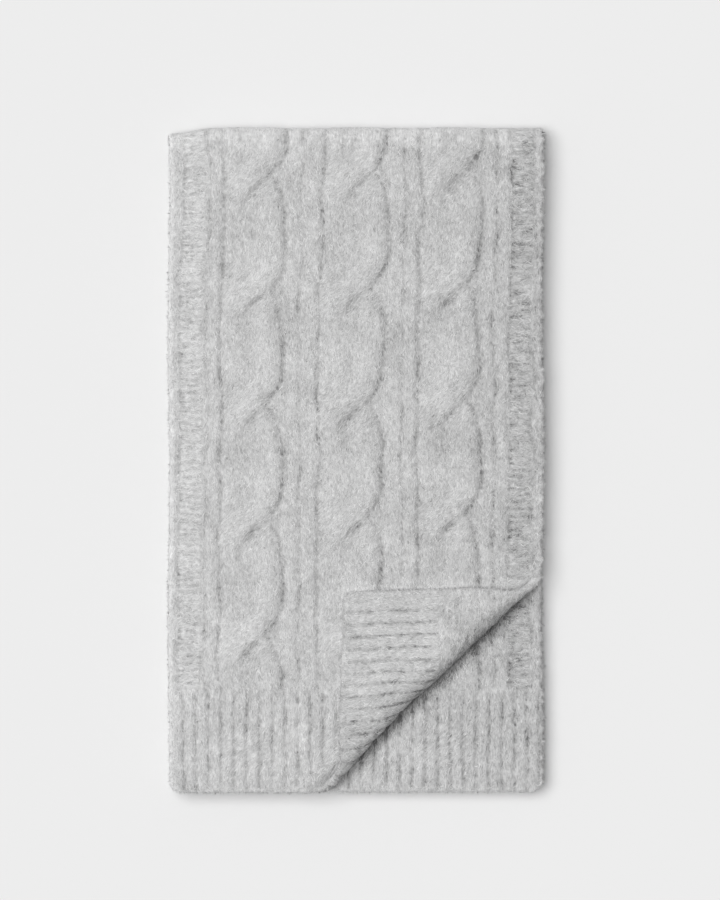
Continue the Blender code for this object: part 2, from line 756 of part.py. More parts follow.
def knit_material(name, colour, roughness):
    """A matt wool finish."""
    material = bpy.data.materials.new(name)
    material.use_nodes = True
    shader = material.node_tree.nodes["Principled BSDF"]
    shader.inputs["Base Color"].default_value = (*colour, 1.0)
    shader.inputs["Roughness"].default_value = roughness
    shader.inputs["Metallic"].default_value = 0.0
    return material


def main():
    """Clears the scene and builds the three stretches of the scarf."""
    for old in list(bpy.data.objects):
        bpy.data.objects.remove(old, do_unlink=True)
    finishes = (
        (top_layer(), knit_material("brushed_wool_top", (0.53, 0.53, 0.53), 0.95)),
        (under_layer(), knit_material("brushed_wool_under", (0.52, 0.52, 0.52), 0.95)),
        (inner_layers(), knit_material("brushed_wool_inner", (0.51, 0.51, 0.51), 0.95)),
    )
    for stretch, material in finishes:
        stretch.data.materials.append(material)


main()
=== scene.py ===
"""Dresses a folded cable-knit scarf: the layers of cloth, and the brushed nap that grows on them.

Lengths are in metres and +Z is up. Every layer is first a flat cut, with x across it and v along it
from its end, and is then laid in place. Near its outline the cut is drawn as if the rounded edge were
rolled out flat, so that one pair of numbers reaches every point of a side, its edge included.
"""

import logging
import math
from dataclasses import dataclass
from enum import Enum

import bpy
import numpy as np
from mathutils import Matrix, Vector
from mathutils.geometry import delaunay_2d_cdt


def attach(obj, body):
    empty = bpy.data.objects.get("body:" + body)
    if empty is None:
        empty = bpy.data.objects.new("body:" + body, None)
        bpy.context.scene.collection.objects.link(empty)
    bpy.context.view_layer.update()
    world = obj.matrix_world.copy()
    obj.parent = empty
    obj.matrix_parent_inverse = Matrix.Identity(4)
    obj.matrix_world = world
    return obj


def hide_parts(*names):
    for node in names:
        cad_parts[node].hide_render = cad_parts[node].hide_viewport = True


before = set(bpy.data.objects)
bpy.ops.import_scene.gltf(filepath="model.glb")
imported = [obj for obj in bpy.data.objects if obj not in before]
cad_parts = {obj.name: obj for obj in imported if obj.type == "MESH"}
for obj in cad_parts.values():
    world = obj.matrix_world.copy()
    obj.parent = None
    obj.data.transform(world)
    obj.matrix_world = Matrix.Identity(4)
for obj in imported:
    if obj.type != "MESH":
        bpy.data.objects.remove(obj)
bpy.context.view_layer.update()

log = logging.getLogger("scarf")

Array = np.ndarray
Run = tuple[float, float, float, float]
Triple = tuple[float, float, float]
Tree = bpy.types.NodeTree
Socket = bpy.types.NodeSocket

BODY = "root"
DIAGONAL = math.sqrt(2.0)

# The maps of a shell, and the values that the meshes keep for their materials, painted light and shade
# included
FLAT_MAP = "OFBake"
YARN_MAP = "Grain"
TONE = "tone"
FIBRE_SHADE = "shade"

# The folded scarf
WIDTH = 0.250
HALF_LENGTH = 0.222
RIB_PITCH = 0.0085
WALL = 0.0042
HIDDEN_LAYER = 0.0052
LAYER_GAP = 0.0002
HIDDEN_WALL = HIDDEN_LAYER - LAYER_GAP
SEAM_GAP = 0.0003
CORNER_RADIUS = 0.0075
EDGE_RADIUS = 0.0026
SEAM_SHARE = 0.12
UNDER_INSET = 0.0004
TAIL = 0.010
BACK_RELIEF = 0.0016

# The turned-back corner: a fold at 45 degrees
FOLD_SILHOUETTE = -0.0162
FLAP_LEFT = -0.0095
FLAP_TOP = 0.1345
COVERED_HEIGHT = 0.0008
HIDDEN_HEIGHT = 0.0010
UNDER_SHOWS = 0.008

# Heights of the middles of the walls, and the folds at the back and the front
UNDER_MIDDLE = 2 * HIDDEN_LAYER + SEAM_GAP + WALL / 2
TOP_MIDDLE = UNDER_MIDDLE + WALL + HIDDEN_HEIGHT + SEAM_GAP
FLAP_REST = WALL + COVERED_HEIGHT + SEAM_GAP
OUTER_FOLD_RADIUS = (TOP_MIDDLE - WALL / 2) / 2
INNER_FOLD_RADIUS = (UNDER_MIDDLE - 1.5 * HIDDEN_LAYER) / 2
BACK_CENTRE = HALF_LENGTH - OUTER_FOLD_RADIUS - WALL / 2 - BACK_RELIEF
SEAM_Y = BACK_CENTRE - TAIL
TOP_LENGTH = HALF_LENGTH + BACK_CENTRE + math.pi * OUTER_FOLD_RADIUS + TAIL
UNDER_LENGTH = HALF_LENGTH + BACK_CENTRE + math.pi * INNER_FOLD_RADIUS + TAIL
FRONT_CENTRE = -HALF_LENGTH + UNDER_INSET + HIDDEN_LAYER
HIDDEN_RUN = SEAM_Y - FRONT_CENTRE
HIDDEN_LENGTH = 2 * HIDDEN_RUN + math.pi * HIDDEN_LAYER / 2

# Fineness
COLUMN_STEP = RIB_PITCH / 7
ROW_STEP = 0.00125
HIDDEN_STEP = 0.0065
EDGE_STEP = 0.0017
RIM_MARGIN = 0.0006

# Where the top layer's nap is split into coats
NAP_SPLITS = (0.165, 0.315)


def ease(low: float, high: float, value: Array) -> Array:
    """Rises smoothly from 0 at low to 1 at high."""
    share = np.clip((np.asarray(value, float) - low) / (high - low), 0.0, 1.0)
    return share * share * (3.0 - 2.0 * share)


def span(run: Run, value: Array) -> Array:
    """Rises smoothly from 0 to 1 over the first two numbers of a run, and falls over its last two."""
    start, full, fading, end = run
    return ease(start, full, value) * (1.0 - ease(fading, end, value))


def blend(first: Array | float, second: Array | float, share: Array) -> Array:
    """Goes from the first to the second as the share goes from 0 to 1."""
    return first * (1.0 - share) + second * share


def bell(distance: Array, width: float) -> Array:
    """A smooth hump that is 1 in its middle."""
    return np.exp(-((distance / width) ** 2))


class Side(Enum):
    """The two sides of the cloth."""

    FACE = 1
    REVERSE = -1


class Ripple:
    """A smooth unevenness that repeats from run to run: plane waves in many directions."""

    def __init__(self, seed: int, wavelength: float, stretch: float = 1.0, waves: int = 12) -> None:
        """Draws the waves.

        Args:
            seed: which unevenness this is.
            wavelength: the middle wavelength across the cloth.
            stretch: how many times longer the waves are along the cloth.
            waves: how many waves are added up.
        """
        draw = np.random.default_rng(seed)
        angle = draw.uniform(0.0, 2.0 * math.pi, waves)
        number = 2.0 * math.pi / wavelength * draw.uniform(0.65, 1.45, waves)
        self.waves = list(zip(
            number * np.cos(angle), number * np.sin(angle) / stretch, draw.uniform(0, 7, waves)
        ))

    def __call__(self, x: Array, v: Array) -> Array:
        """The unevenness at these places, with a mean of 0 and a spread of 1."""
        total = sum(np.sin(a * x + b * v + phase) for a, b, phase in self.waves)
        return total * math.sqrt(2.0 / len(self.waves))


@dataclass(frozen=True)
class Cable:
    """One cable: its middle, its width, where its first crossing lies, and how far its end leans."""

    middle: float
    width: float
    crossing: float
    lean: float = 0.0


@dataclass(frozen=True)
class Furrow:
    """A furrow between two columns of knitting, and the share of the height that it takes."""

    middle: float
    share: float
    width: float


@dataclass(frozen=True)
class Border:
    """A border of garter stitch: where it lies, its shade, and how dark and how even its bars are, both
    partly the garter's own look and partly painted shade in its grooves.
    """

    start: float
    end: float
    shade: float
    bar_shade: float
    even: float


@dataclass(frozen=True)
class Streak:
    """Light or shade along a strand: how far past a crease it lies, and its run below a crossing."""

    strength: float
    past: float
    width: float
    run: Run
    from_crest: bool = False


@dataclass(frozen=True)
class Knit:
    """The pattern of the knitting on a flat cut. Heights stand on the plain wall."""

    # The ribs of the hems, on the face and on the reverse
    rib_pitch: float = RIB_PITCH
    rib_furrow: float = -0.1157
    rib_height: float = 0.0018
    rib_slope: float = 0.27
    rib_depth: float = 0.92
    rib_wander: float = 0.00022
    hem_depth: float = 0.0665
    hem_blend: float = 0.004
    reverse_furrow: float = -0.1104
    reverse_height_max: float = 0.0014
    reverse_gain: float = 1.6
    reverse_selvedge: tuple[float, float] = (0.1135, 0.1160)

    # The cables: ropes whose strands cross at each repeat and draw in to a waist there
    plain_height: float = 0.0016
    cable_height: float = 0.0032
    cable_margin: float = 0.0005
    cable_period: float = 0.0767
    rope_fall: float = 2.6
    rope_crown: float = 0.6
    crossing_reach: float = 1.29
    crossing_run: tuple[float, float] = (-0.0240, 0.0170)
    strand_tip: float = 0.0045
    waist_depth: float = 0.0104
    waist_above: float = 0.027
    waist_start: float = 0.003
    waist_rise: float = 1.9
    waist_below: float = 0.027
    waist_curve: float = 1.3
    lean_run: tuple[float, float] = (0.300, 0.350)

    # The creases of the crossings, the swells beside a crease, and the grooves beside a cable
    crease_slope: float = 0.74
    crease_run: Run = (-0.0080, 0.0010, 0.004, 0.019)
    crease_drop: float = 0.95
    crease_before: float = 0.0020
    crease_after: float = 0.0046
    swells: tuple[tuple[float, float, float], ...] = (
        (0.0005, -0.0075, 0.0075), (0.0006, 0.0090, 0.0060),
    )
    notch_depth: float = 0.35
    notch_edge: float = 0.0035
    right_groove: float = 0.90
    right_groove_width: float = 0.0019
    right_groove_filled: Run = (-0.010, -0.004, 0.006, 0.022)
    left_groove: float = 0.66
    left_groove_width: float = 0.0014
    left_groove_deepened: Run = (-0.038, -0.030, -0.020, -0.012)

    # The garter stitch of the borders and of the reverse
    garter_pitch: float = 0.0043
    garter_depth: float = 0.00027
    purl_depth: float = 0.00022
    border_edge: float = 0.0015
    border_start: float = 0.006

    # How far the columns wander sideways, and the unevenness of the surface
    drift_back: float = 0.0022
    drift_back_run: tuple[float, float] = (0.300, 0.400)
    drift_front: float = 0.0012
    drift_front_run: tuple[float, float] = (0.040, 0.290)
    meander_reach: float = 0.0008
    body_wander: float = 0.0004
    fuzz_height: float = 0.00010

    # Tones, as shares of the wool's range: random clouds, and painted light and shade in the furrows and
    # creases, on the strands and towards the right
    middle_tone: float = 0.010
    cloud_shade: float = 0.029
    fade_across: float = 0.5
    right_shade: float = 0.03
    right_shade_run: tuple[float, float] = (0.03, 0.12)
    hem_furrow_shade: float = 0.375
    hem_furrow_power: float = 2.1
    furrow_shade: float = 0.30
    furrow_power: float = 1.3
    crease_shade: float = 0.11
    crease_shade_width: float = 0.0030
    flank_shade: float = 0.075
    flank: tuple[float, float] = (-0.0090, -0.0025)
    flank_tucked: Run = (-0.008, -0.002, 0.006, 0.016)
    crest: float = -0.0140
    crest_shift: float = 0.0045
    crest_run: tuple[float, float] = (-0.034, -0.010)
    bar_peak: float = 2.2

    cables: tuple[Cable, ...] = (
        Cable(-0.0695, 0.0410, 0.0990),
        Cable(-0.0023, 0.0435, 0.1007, -0.0016),
        Cable(0.0620, 0.0410, 0.1032),
    )
    furrows: tuple[Furrow, ...] = (
        Furrow(-0.1175, 0.40, 0.0014),
        Furrow(-0.1003, 0.60, 0.0014),
        Furrow(-0.0385, 0.60, 0.0014),
        Furrow(0.0303, 0.60, 0.0014),
        Furrow(0.0915, 0.70, 0.0015),
        Furrow(0.1015, 0.60, 0.0015),
        Furrow(0.1185, 0.50, 0.0015),
    )
    borders: tuple[Border, ...] = (
        Border(-0.1190, -0.1020, 0.03, 0.17, 1.0), Border(0.1014, 0.1175, -0.15, 0.27, 0.30),
    )
    streaks: tuple[Streak, ...] = (
        Streak(0.090, 0.0, 0.0050, (-0.048, -0.028, -0.002, 0.009), True),
        Streak(-0.050, -0.0062, 0.0040, (-0.034, -0.024, -0.015, -0.007), True),
        Streak(-0.105, -0.0012, 0.0062, (0.003, 0.014, 0.025, 0.042)),
        Streak(0.050, 0.0078, 0.0042, (0.005, 0.012, 0.017, 0.027)),
    )
    wander: Ripple = Ripple(11, 0.060, 0.45)
    loft: Ripple = Ripple(12, 0.016, 1.4)
    fuzz: Ripple = Ripple(13, 0.0062, 1.5, 16)
    depth: Ripple = Ripple(14, 0.030, 0.8)
    meander: Ripple = Ripple(22, 0.095, 0.55)
    bars: Ripple = Ripple(23, 0.0200, 0.26, 24)
    holes: Ripple = Ripple(18, 0.0030, 1.1, 24)
    curl: Ripple = Ripple(19, 0.0070, 1.0, 16)
    clouds: tuple[Ripple, ...] = (
        Ripple(15, 0.0075, 1.3, 20), Ripple(16, 0.017, 1.5, 16), Ripple(17, 0.042, 1.2, 12),
    )

    def drift(self, v: Array) -> Array:
        """How far the columns of knitting wander sideways along the scarf."""
        front = self.drift_front * (1.0 - ease(*self.drift_front_run, v))
        return self.drift_back * ease(*self.drift_back_run, v) - front

    def below_crossing(self, cable: Cable, v: Array) -> Array:
        """The distance from the nearest crossing of a cable, positive towards the hem."""
        turns = (v - cable.crossing) / self.cable_period
        return (np.round(turns) - turns) * self.cable_period

    def cable_sides(self, cable: Cable, v: Array) -> tuple[float, Array]:
        """The edges of a cable. The right one draws in at each crossing.

        Args:
            cable: the cable.
            v: places along the cut.

        Returns:
            The left and the right edge, from the cable's middle.
        """
        half = cable.width / 2
        below_tip = self.below_crossing(cable, v) + self.strand_tip
        above = ease(-self.waist_above, self.waist_start, below_tip) ** self.waist_rise
        arch = np.sqrt(np.clip(below_tip / self.waist_below, 0.0, 1.0))
        below = (1.0 - arch) ** self.waist_curve
        return -half - self.cable_margin, half - self.waist_depth * above * below

    def crossed(self, cable: Cable, below: Array) -> Array:
        """How far the strands of a cable have moved across it, at a distance below a crossing."""
        return self.crossing_reach * cable.width / 2 * ease(*self.crossing_run, below)

    def crossings(self, cable: Cable, x: Array, v: Array) -> list[tuple[Array, Array]]:
        """Looks at the crossings that a place can belong to.

        Args:
            cable: the cable.
            x: places across it, from its middle.
            v: places along the cut.

        Returns:
            For each crossing, how far below it the places lie and how far past its crease.
        """
        found = []
        for turn in (-1, 0, 1):
            below = self.below_crossing(cable, v) + turn * self.cable_period
            past = (x - cable.width / 2 + self.crossed(cable, below)) * self.crease_slope
            found.append((below, past))
        return found

    def creases(self, cable: Cable, x: Array, v: Array) -> list[tuple[Array, Array]]:
        """How far past the creases of a cable these places lie, and how deep each crease is there."""
        return [(past, span(self.crease_run, below)) for below, past in self.crossings(cable, x, v)]

    def cable_relief(self, cable: Cable, x: Array, v: Array) -> Array:
        """The height of a cable: a broad rope that steps down along the crease of each crossing.

        Args:
            cable: the cable.
            x: places across it, from its middle.
            v: places along the cut.

        Returns:
            The heights, which are 0 beside the cable.
        """
        left, right = self.cable_sides(cable, v)
        across = (x - (left + right) / 2) / ((right - left) / 2)
        crown = np.clip(1.0 - np.abs(across) ** self.rope_fall, 0.0, None) ** self.rope_crown
        height = self.cable_height * crown
        for past, fade in self.creases(cable, x, v):
            fade = fade * np.clip(1.0 + 0.12 * self.depth(x + cable.middle, v), 0.3, 1.05)
            after = np.exp(-(np.abs(past / self.crease_after) ** 1.5))
            step = np.where(past > 0, after, bell(past, self.crease_before))
            height = height * (1.0 - self.crease_drop * fade * step)
            for rise, middle, width in self.swells:
                height = height + rise * fade * bell(past - middle, width)
        return np.where(np.abs(across) < 1.0, height, 0.0)

    def strand_light(self, cable: Cable, x: Array, v: Array) -> Array:
        """How light the strands of a cable are: a lit crest, a far flank in shade and a hollow between.

        Args:
            cable: the cable.
            x: places across it, from its middle.
            v: places along the cut.

        Returns:
            What the strands add to the tone.
        """
        right = self.cable_sides(cable, v)[1]
        tucked = span(self.flank_tucked, self.below_crossing(cable, v))
        light = -self.flank_shade * ease(*self.flank, x - right) * (1.0 - 0.7 * tucked)
        for below, past in self.crossings(cable, x, v):
            crest = self.crest + self.crest_shift * (1.0 - ease(*self.crest_run, below))
            for streak in self.streaks:
                middle = streak.past + crest * streak.from_crest
                glow = streak.strength * bell(past - middle, streak.width)
                light = light + glow * span(streak.run, below)
        return light

    def on_cables(self, x: Array, v: Array) -> list[tuple[Cable, Array, Array]]:
        """Finds the places that lie on the cables.

        Args:
            x: places across the cut.
            v: places along it.

        Returns:
            Each cable, with the places from its middle and whether they lie on it.
        """
        column = x - self.drift(v) - self.meander_reach * self.meander(x, v)
        found = []
        for cable in self.cables:
            left, right = self.cable_sides(cable, v)
            from_middle = column - cable.middle - cable.lean * (1.0 - ease(*self.lean_run, v))
            found.append((cable, from_middle, (from_middle > left) & (from_middle < right)))
        return found

    def in_body(self, v: Array) -> Array:
        """How much of the body's pattern is at these places, from 0 in the hem to 1."""
        return ease(self.hem_depth - self.hem_blend, self.hem_depth + self.hem_blend, v)

    def in_borders(self, x: Array, v: Array) -> Array:
        """How much of the garter stitch of the borders is at these places, from 0 to 1.

        Args:
            x: places across the cut.
            v: places along it.

        Returns:
            The shares, which fade in above the hem.
        """
        column, edge = x - self.drift(v), self.border_edge
        share = sum(
            span((border.start, border.start + edge, border.end - edge, border.end), column)
            for border in self.borders
        )
        return share * ease(self.hem_depth, self.hem_depth + self.border_start, v)

    def rows(self, x: Array, v: Array, wander: float) -> Array:
        """The rows of garter stitch: a wave from -1 to 1 that wanders this far along the scarf."""
        return np.cos(2.0 * math.pi * (v + wander * self.depth(x, v)) / self.garter_pitch)

    def furrowed(self, side: Side, x: Array, v: Array) -> Array:
        """How deep in a furrow these places lie, from 0 to 1."""
        height = self.face(x, v) if side is Side.FACE else self.reverse_gain * self.reverse(x, v)
        return np.clip(1.0 - height / self.plain_height, 0.0, 1.0)

    def tone(self, side: Side, x: Array, v: Array) -> Array:
        """How much lighter or darker the wool is at these places, as a share of its range, painted light
        and shade included.

        Args:
            side: which side of the cloth.
            x: places across the cut.
            v: places along it.

        Returns:
            The tones, with 0 for the middle of the range.
        """
        body, furrowed = self.in_body(v), self.furrowed(side, x, v)
        tone = sum(self.cloud_shade * cloud(x, v) for cloud in self.clouds) + self.middle_tone
        # Painted shade: the wool grows darker towards the right, away from the light on the left
        tone = tone - self.fade_across * x - self.right_shade * ease(*self.right_shade_run, x)
        # Painted shade in the furrows, darkest at the holes between the stitches and in the hem
        holes = np.clip(1.0 + 0.18 * self.depth(x, v) + 0.42 * self.holes(x, v), 0.3, 2.0)
        holes = blend(1.0 + 0.3 * (holes - 1.0), holes, body)
        shade = blend(self.hem_furrow_shade, self.furrow_shade, body)
        power = blend(self.hem_furrow_power, self.furrow_power, body)
        tone = tone - shade * furrowed**power * holes
        if side is Side.FACE:
            return tone + body * (self.cable_tone(x, v) + self.border_tone(x, v))
        # On the reverse: painted shade in the hem's furrows, and the rows and bars of the body
        bars = 0.050 * self.rows(x, v, 0.0008)
        bars = bars + 0.070 * np.clip(self.bars(x, v), -1.0, self.bar_peak)
        return tone - blend(0.08 * (furrowed - 0.2), bars, body)

    def cable_tone(self, x: Array, v: Array) -> Array:
        """What the cables add to the tone: painted light and shade along the strands, and painted shade in
        the creases.

        Args:
            x: places across the cut.
            v: places along it.

        Returns:
            The tones, which are 0 beside the cables.
        """
        tone = np.zeros_like(x)
        for cable, from_middle, on_cable in self.on_cables(x, v):
            light = self.strand_light(cable, from_middle, v)
            for past, fade in self.creases(cable, from_middle, v):
                # Painted shade along each crease
                light = light - self.crease_shade * fade * bell(past + 0.0006, self.crease_shade_width)
            tone = tone + np.where(on_cable, light, 0.0)
        return tone

    def border_tone(self, x: Array, v: Array) -> Array:
        """What the borders add to the tone: a shade over each and bars across them, partly the garter's own
        look and partly painted shade in its grooves.

        Args:
            x: places across the cut.
            v: places along it.

        Returns:
            The tones, which are 0 outside the borders.
        """
        tone = np.zeros_like(x)
        column = x - self.drift(v)
        for border in self.borders:
            run = (border.start - 0.001, border.start + 0.002, border.end - 0.002, border.end)
            curled = v + (0.0007 - 0.0005 * border.even) * self.curl(x, v) + 0.0008 * self.depth(x, v)
            stitches = np.clip(np.cos(2.0 * math.pi * curled / self.garter_pitch), 0.0, 1.0)
            uneven = np.clip(self.bars(x, v), 0.0, self.bar_peak)
            bars = blend(0.95 * uneven, 1.2 * stitches, border.even)
            tone = tone + span(run, column) * (border.shade - border.bar_shade * (bars - 0.5))
        return tone

    def grooved(self, cable: Cable, x: Array, v: Array, depth: Array) -> Array:
        """The share of the height that the grooves beside a cable and the notch at its waist leave.

        Args:
            cable: the cable.
            x: places across it, from its middle.
            v: places along the cut.
            depth: how deep the knitting is drawn in there, about 1.

        Returns:
            The shares, from 0 to 1.
        """
        left, right = self.cable_sides(cable, v)
        below = self.below_crossing(cable, v)
        outside = cable.width / 2 + 0.0006 - x
        notch = ease(0.0, self.notch_edge, x - right) * ease(0.0, self.notch_edge, outside)
        on_right = self.right_groove * (1.0 - 0.50 * span(self.right_groove_filled, below))
        on_right = on_right * bell(x - right + 0.0001, self.right_groove_width)
        on_left = self.left_groove * depth + 0.14 * span(self.left_groove_deepened, below)
        on_left = np.minimum(on_left, 0.95) * bell(x - left + 0.0006, self.left_groove_width)
        return (1.0 - self.notch_depth * notch) * (1.0 - on_right) * (1.0 - on_left)

    def body_relief(self, x: Array, v: Array) -> Array:
        """The height of the cabled body: cables, channels, rib columns and borders.

        Args:
            x: places across the cut.
            v: places along it.

        Returns:
            The heights above the plain wall.
        """
        shifted = x - self.body_wander * self.wander(x, v)
        column = shifted - self.drift(v) - self.meander_reach * self.meander(x, v)
        depth = 1.0 + 0.22 * self.depth(x, v)
        height = np.full_like(column, self.plain_height)
        for cable, from_middle, on_cable in self.on_cables(shifted, v):
            height = np.where(on_cable, self.cable_relief(cable, from_middle, v), height)
            height = height * self.grooved(cable, from_middle, v, depth)
        for furrow in self.furrows:
            share = np.clip(furrow.share * depth, 0.1, 0.9)
            height = height * (1.0 - share * bell(column - furrow.middle, furrow.width))
        return height - self.garter_depth * self.in_borders(x, v) * (1.0 + self.rows(x, v, 0.0011))

    def ribs(self, x: Array, v: Array, furrow: float, height: float) -> Array:
        """Ribs side by side, with a narrow furrow between each two.

        Args:
            x: places across the cut.
            v: places along it.
            furrow: where one of the furrows lies.
            height: the height of the crests.

        Returns:
            The heights.
        """
        turns = (x - self.rib_wander * self.wander(x, v) - furrow) / self.rib_pitch
        crest = ease(0.0, self.rib_slope, np.abs(turns - np.round(turns)))
        depth = np.clip(self.rib_depth + 0.06 * self.depth(x, v), 0.5, 1.0)
        return height * (1.0 - depth * (1.0 - crest))

    def face(self, x: Array, v: Array) -> Array:
        """The height of the face of the knitting.

        Args:
            x: places across the cut.
            v: places along it.

        Returns:
            The heights above the plain wall.
        """
        ribs = self.ribs(x, v, self.rib_furrow, self.rib_height)
        height = blend(ribs, self.body_relief(x, v), self.in_body(v))
        return height + self.fuzz_height * (self.loft(x, v) + self.fuzz(x, v))

    def reverse(self, x: Array, v: Array) -> Array:
        """The height of the reverse: the ribs of the hem, and a body of small purl bumps.

        Args:
            x: places across the cut.
            v: places along it.

        Returns:
            The heights above the plain wall.
        """
        top = self.reverse_height_max
        ribs = self.ribs(x, v, self.reverse_furrow, top)
        ribs = blend(ribs, top, ease(*self.reverse_selvedge, x))
        purl = 0.7 * top + self.purl_depth * self.rows(x, v, 0.0014)
        return blend(ribs, purl, self.in_body(v)) + self.fuzz_height * self.fuzz(x, v)

    def strands(self, x: Array, v: Array) -> Array:
        """How far the strands lean sideways, added up along the scarf.

        Args:
            x: places across the cut.
            v: places along it.

        Returns:
            The leaning, which is 0 beside the cables.
        """
        lean = np.zeros_like(x)
        for cable, _, on_cable in self.on_cables(x, v):
            for crossing in range(-1, 7):
                below = cable.crossing + crossing * self.cable_period - v
                lean = np.where(on_cable, lean - self.crossed(cable, below), lean)
        return lean

    def crosswise(self, side: Side, x: Array, v: Array) -> Array:
        """How much of the yarn runs across the cloth, from 0 to 1."""
        return self.in_borders(x, v) if side is Side.FACE else self.in_body(v)

    def grain(self, side: Side, x: Array, v: Array) -> tuple[Array, Array]:
        """The way the yarn runs on a side of the cloth.

        Args:
            side: which side of the cloth.
            x: places across the cut.
            v: places along it.

        Returns:
            The two parts of the direction, across and along the cut.
        """
        across = self.crosswise(side, x, v)
        if side is Side.REVERSE:
            return across, 1.0 - across
        step = 0.0005
        lean = (self.strands(x, v + step) - self.strands(x, v - step)) / (2.0 * step)
        return across + (1.0 - across) * np.clip(lean, 0.0, 1.2), 1.0 - across


KNIT = Knit()


@dataclass(frozen=True)
class CornerFold:
    """The turned-back corner in section: it lifts, turns over a soft nose and settles to rest."""

    nose_reach: float = 0.0058
    nose_rise: float = 0.0048
    lift: float = 0.0024
    lift_run: float = 0.016
    settle_run: float = 0.034
    slack: float = 0.935
    take_up: float = 0.0150
    bow_at_hem: float = -0.0020
    bow_steps: tuple[tuple[float, float, float], ...] = (
        (-0.006, 0.045, 0.0028), (0.068, 0.100, -0.0016),
        (0.120, 0.150, -0.0008), (0.155, 0.185, -0.0026),
    )
    bow_end: float = 0.030
    dent: float = 0.0006
    dent_middle: float = 0.066
    dent_width: float = 0.016
    pull_run: Run = (-0.002, 0.016, 0.017, 0.034)
    hem_pull: float = 0.0044
    hem_pull_run: tuple[float, float] = (0.003, 0.045)
    edge_pull: float = 0.0038
    edge_pull_run: tuple[float, float] = (0.080, 0.122)
    top_end: tuple[float, float] = (0.170, 0.185)
    hem_end: tuple[float, float] = (-0.006, 0.026)
    middle: Run = (-0.010, 0.035, 0.130, 0.182)
    steps: int = 121

    @property
    def start(self) -> float:
        """Where the nose starts, across the line of the fold."""
        return FOLD_SILHOUETTE - self.nose_reach - WALL / 2 - KNIT.reverse_height_max / 2

    @property
    def nose_length(self) -> float:
        """The length of the path round the nose."""
        turn = np.linspace(0.0, math.pi, 3 * self.steps)
        path = np.column_stack([self.nose_reach * np.sin(turn), self.nose_rise * np.cos(turn)])
        return float(np.hypot(*np.diff(path, axis=0).T).sum())

    def past(self, x: Array, v: Array) -> Array:
        """How far a point of the flat cut lies past the start of the fold."""
        return (x - v) / DIAGONAL - self.start

    def along(self, x: Array, v: Array) -> Array:
        """How far along the fold a place lies, from its end at the hem."""
        return (x + v) / DIAGONAL

    def bow_at(self, x: Array, v: Array) -> Array:
        """How far the line of the fold is bowed towards the flap: most before its middle.

        Args:
            x: places across the cut.
            v: places along it.

        Returns:
            The bow across the line of the fold.
        """
        along = self.along(x, v)
        bow = self.bow_at_hem + self.dent * bell(along - self.dent_middle, self.dent_width)
        return bow + sum(change * ease(start, end, along) for start, end, change in self.bow_steps)

    def bow_kept(self, x: Array, v: Array) -> Array:
        """How much of the bow is left at these places: the flap settles straight."""
        end = self.nose_length + self.take_up
        return self.bow_at(x, v) * (1.0 - ease(end, end + self.bow_end, self.past(x, v)))

    def pulled_out(self, x: Array, v: Array) -> Array:
        """How far the cloth is pulled along the fold near its ends, where the edges run into it."""
        hem = self.hem_pull * (1.0 - ease(*self.hem_pull_run, v))
        return span(self.pull_run, self.past(x, v)) * (self.edge_pull * ease(*self.edge_pull_run, x) - hem)

    def beyond(self, x: Array, v: Array) -> Array:
        """How far a place on the surface lies outside the fold's silhouette."""
        return (x - v) / DIAGONAL - FOLD_SILHOUETTE + self.bow_at(x, v)

    def at_top_end(self, x: Array, v: Array) -> Array:
        """How near a place is to the end of the fold at the right edge."""
        return ease(*self.top_end, self.along(x, v))

    def at_hem_end(self, x: Array, v: Array) -> Array:
        """How near a place is to the end of the fold at the hem."""
        return 1.0 - ease(*self.hem_end, self.along(x, v))

    def in_middle(self, x: Array, v: Array) -> Array:
        """How near a place is to the middle of the fold's length: 0 at both its ends."""
        return span(self.middle, self.along(x, v))

    def section(self) -> tuple[Array, Array, Array, Array]:
        """The section across the fold.

        Returns:
            The length along the cloth from the start of the nose, the reach towards the corner, the
            height of the wall's middle, and the cloth's heading.
        """
        steps = np.linspace(0.0, 1.0, self.steps)
        rising = np.column_stack([(steps - 1.0) * self.lift_run, self.lift * ease(0, 1, steps)])
        turn = math.pi * steps[1:]
        rise = self.lift + self.nose_rise * (1.0 - np.cos(turn))
        nose = np.column_stack([self.nose_reach * np.sin(turn), rise])
        peak = self.lift + 2 * self.nose_rise
        fall = peak + (FLAP_REST - peak) * ease(0, 1, steps[1:])
        settling = np.column_stack([-steps[1:] * self.settle_run, fall])
        far = np.array([[-self.settle_run - WIDTH, FLAP_REST]])
        path = np.vstack([[[-self.lift_run - WIDTH * 2, 0.0]], rising, nose, settling, far])
        length = np.concatenate([[0.0], np.cumsum(np.hypot(*np.diff(path, axis=0).T))])
        length -= length[self.steps]
        nose_length = self.nose_length
        flap = np.maximum(length - nose_length, 0.0)
        length += self.take_up * np.clip(length / nose_length, 0.0, 1.0) + flap * (1 / self.slack - 1)
        slope = np.arctan2(np.gradient(path[:, 1], length), np.gradient(path[:, 0], length))
        heading = np.unwrap(slope)
        heading[0], heading[-1] = 0.0, math.pi
        return length, path[:, 0], path[:, 1], heading


CORNER = CornerFold()
SECTION = CORNER.section()


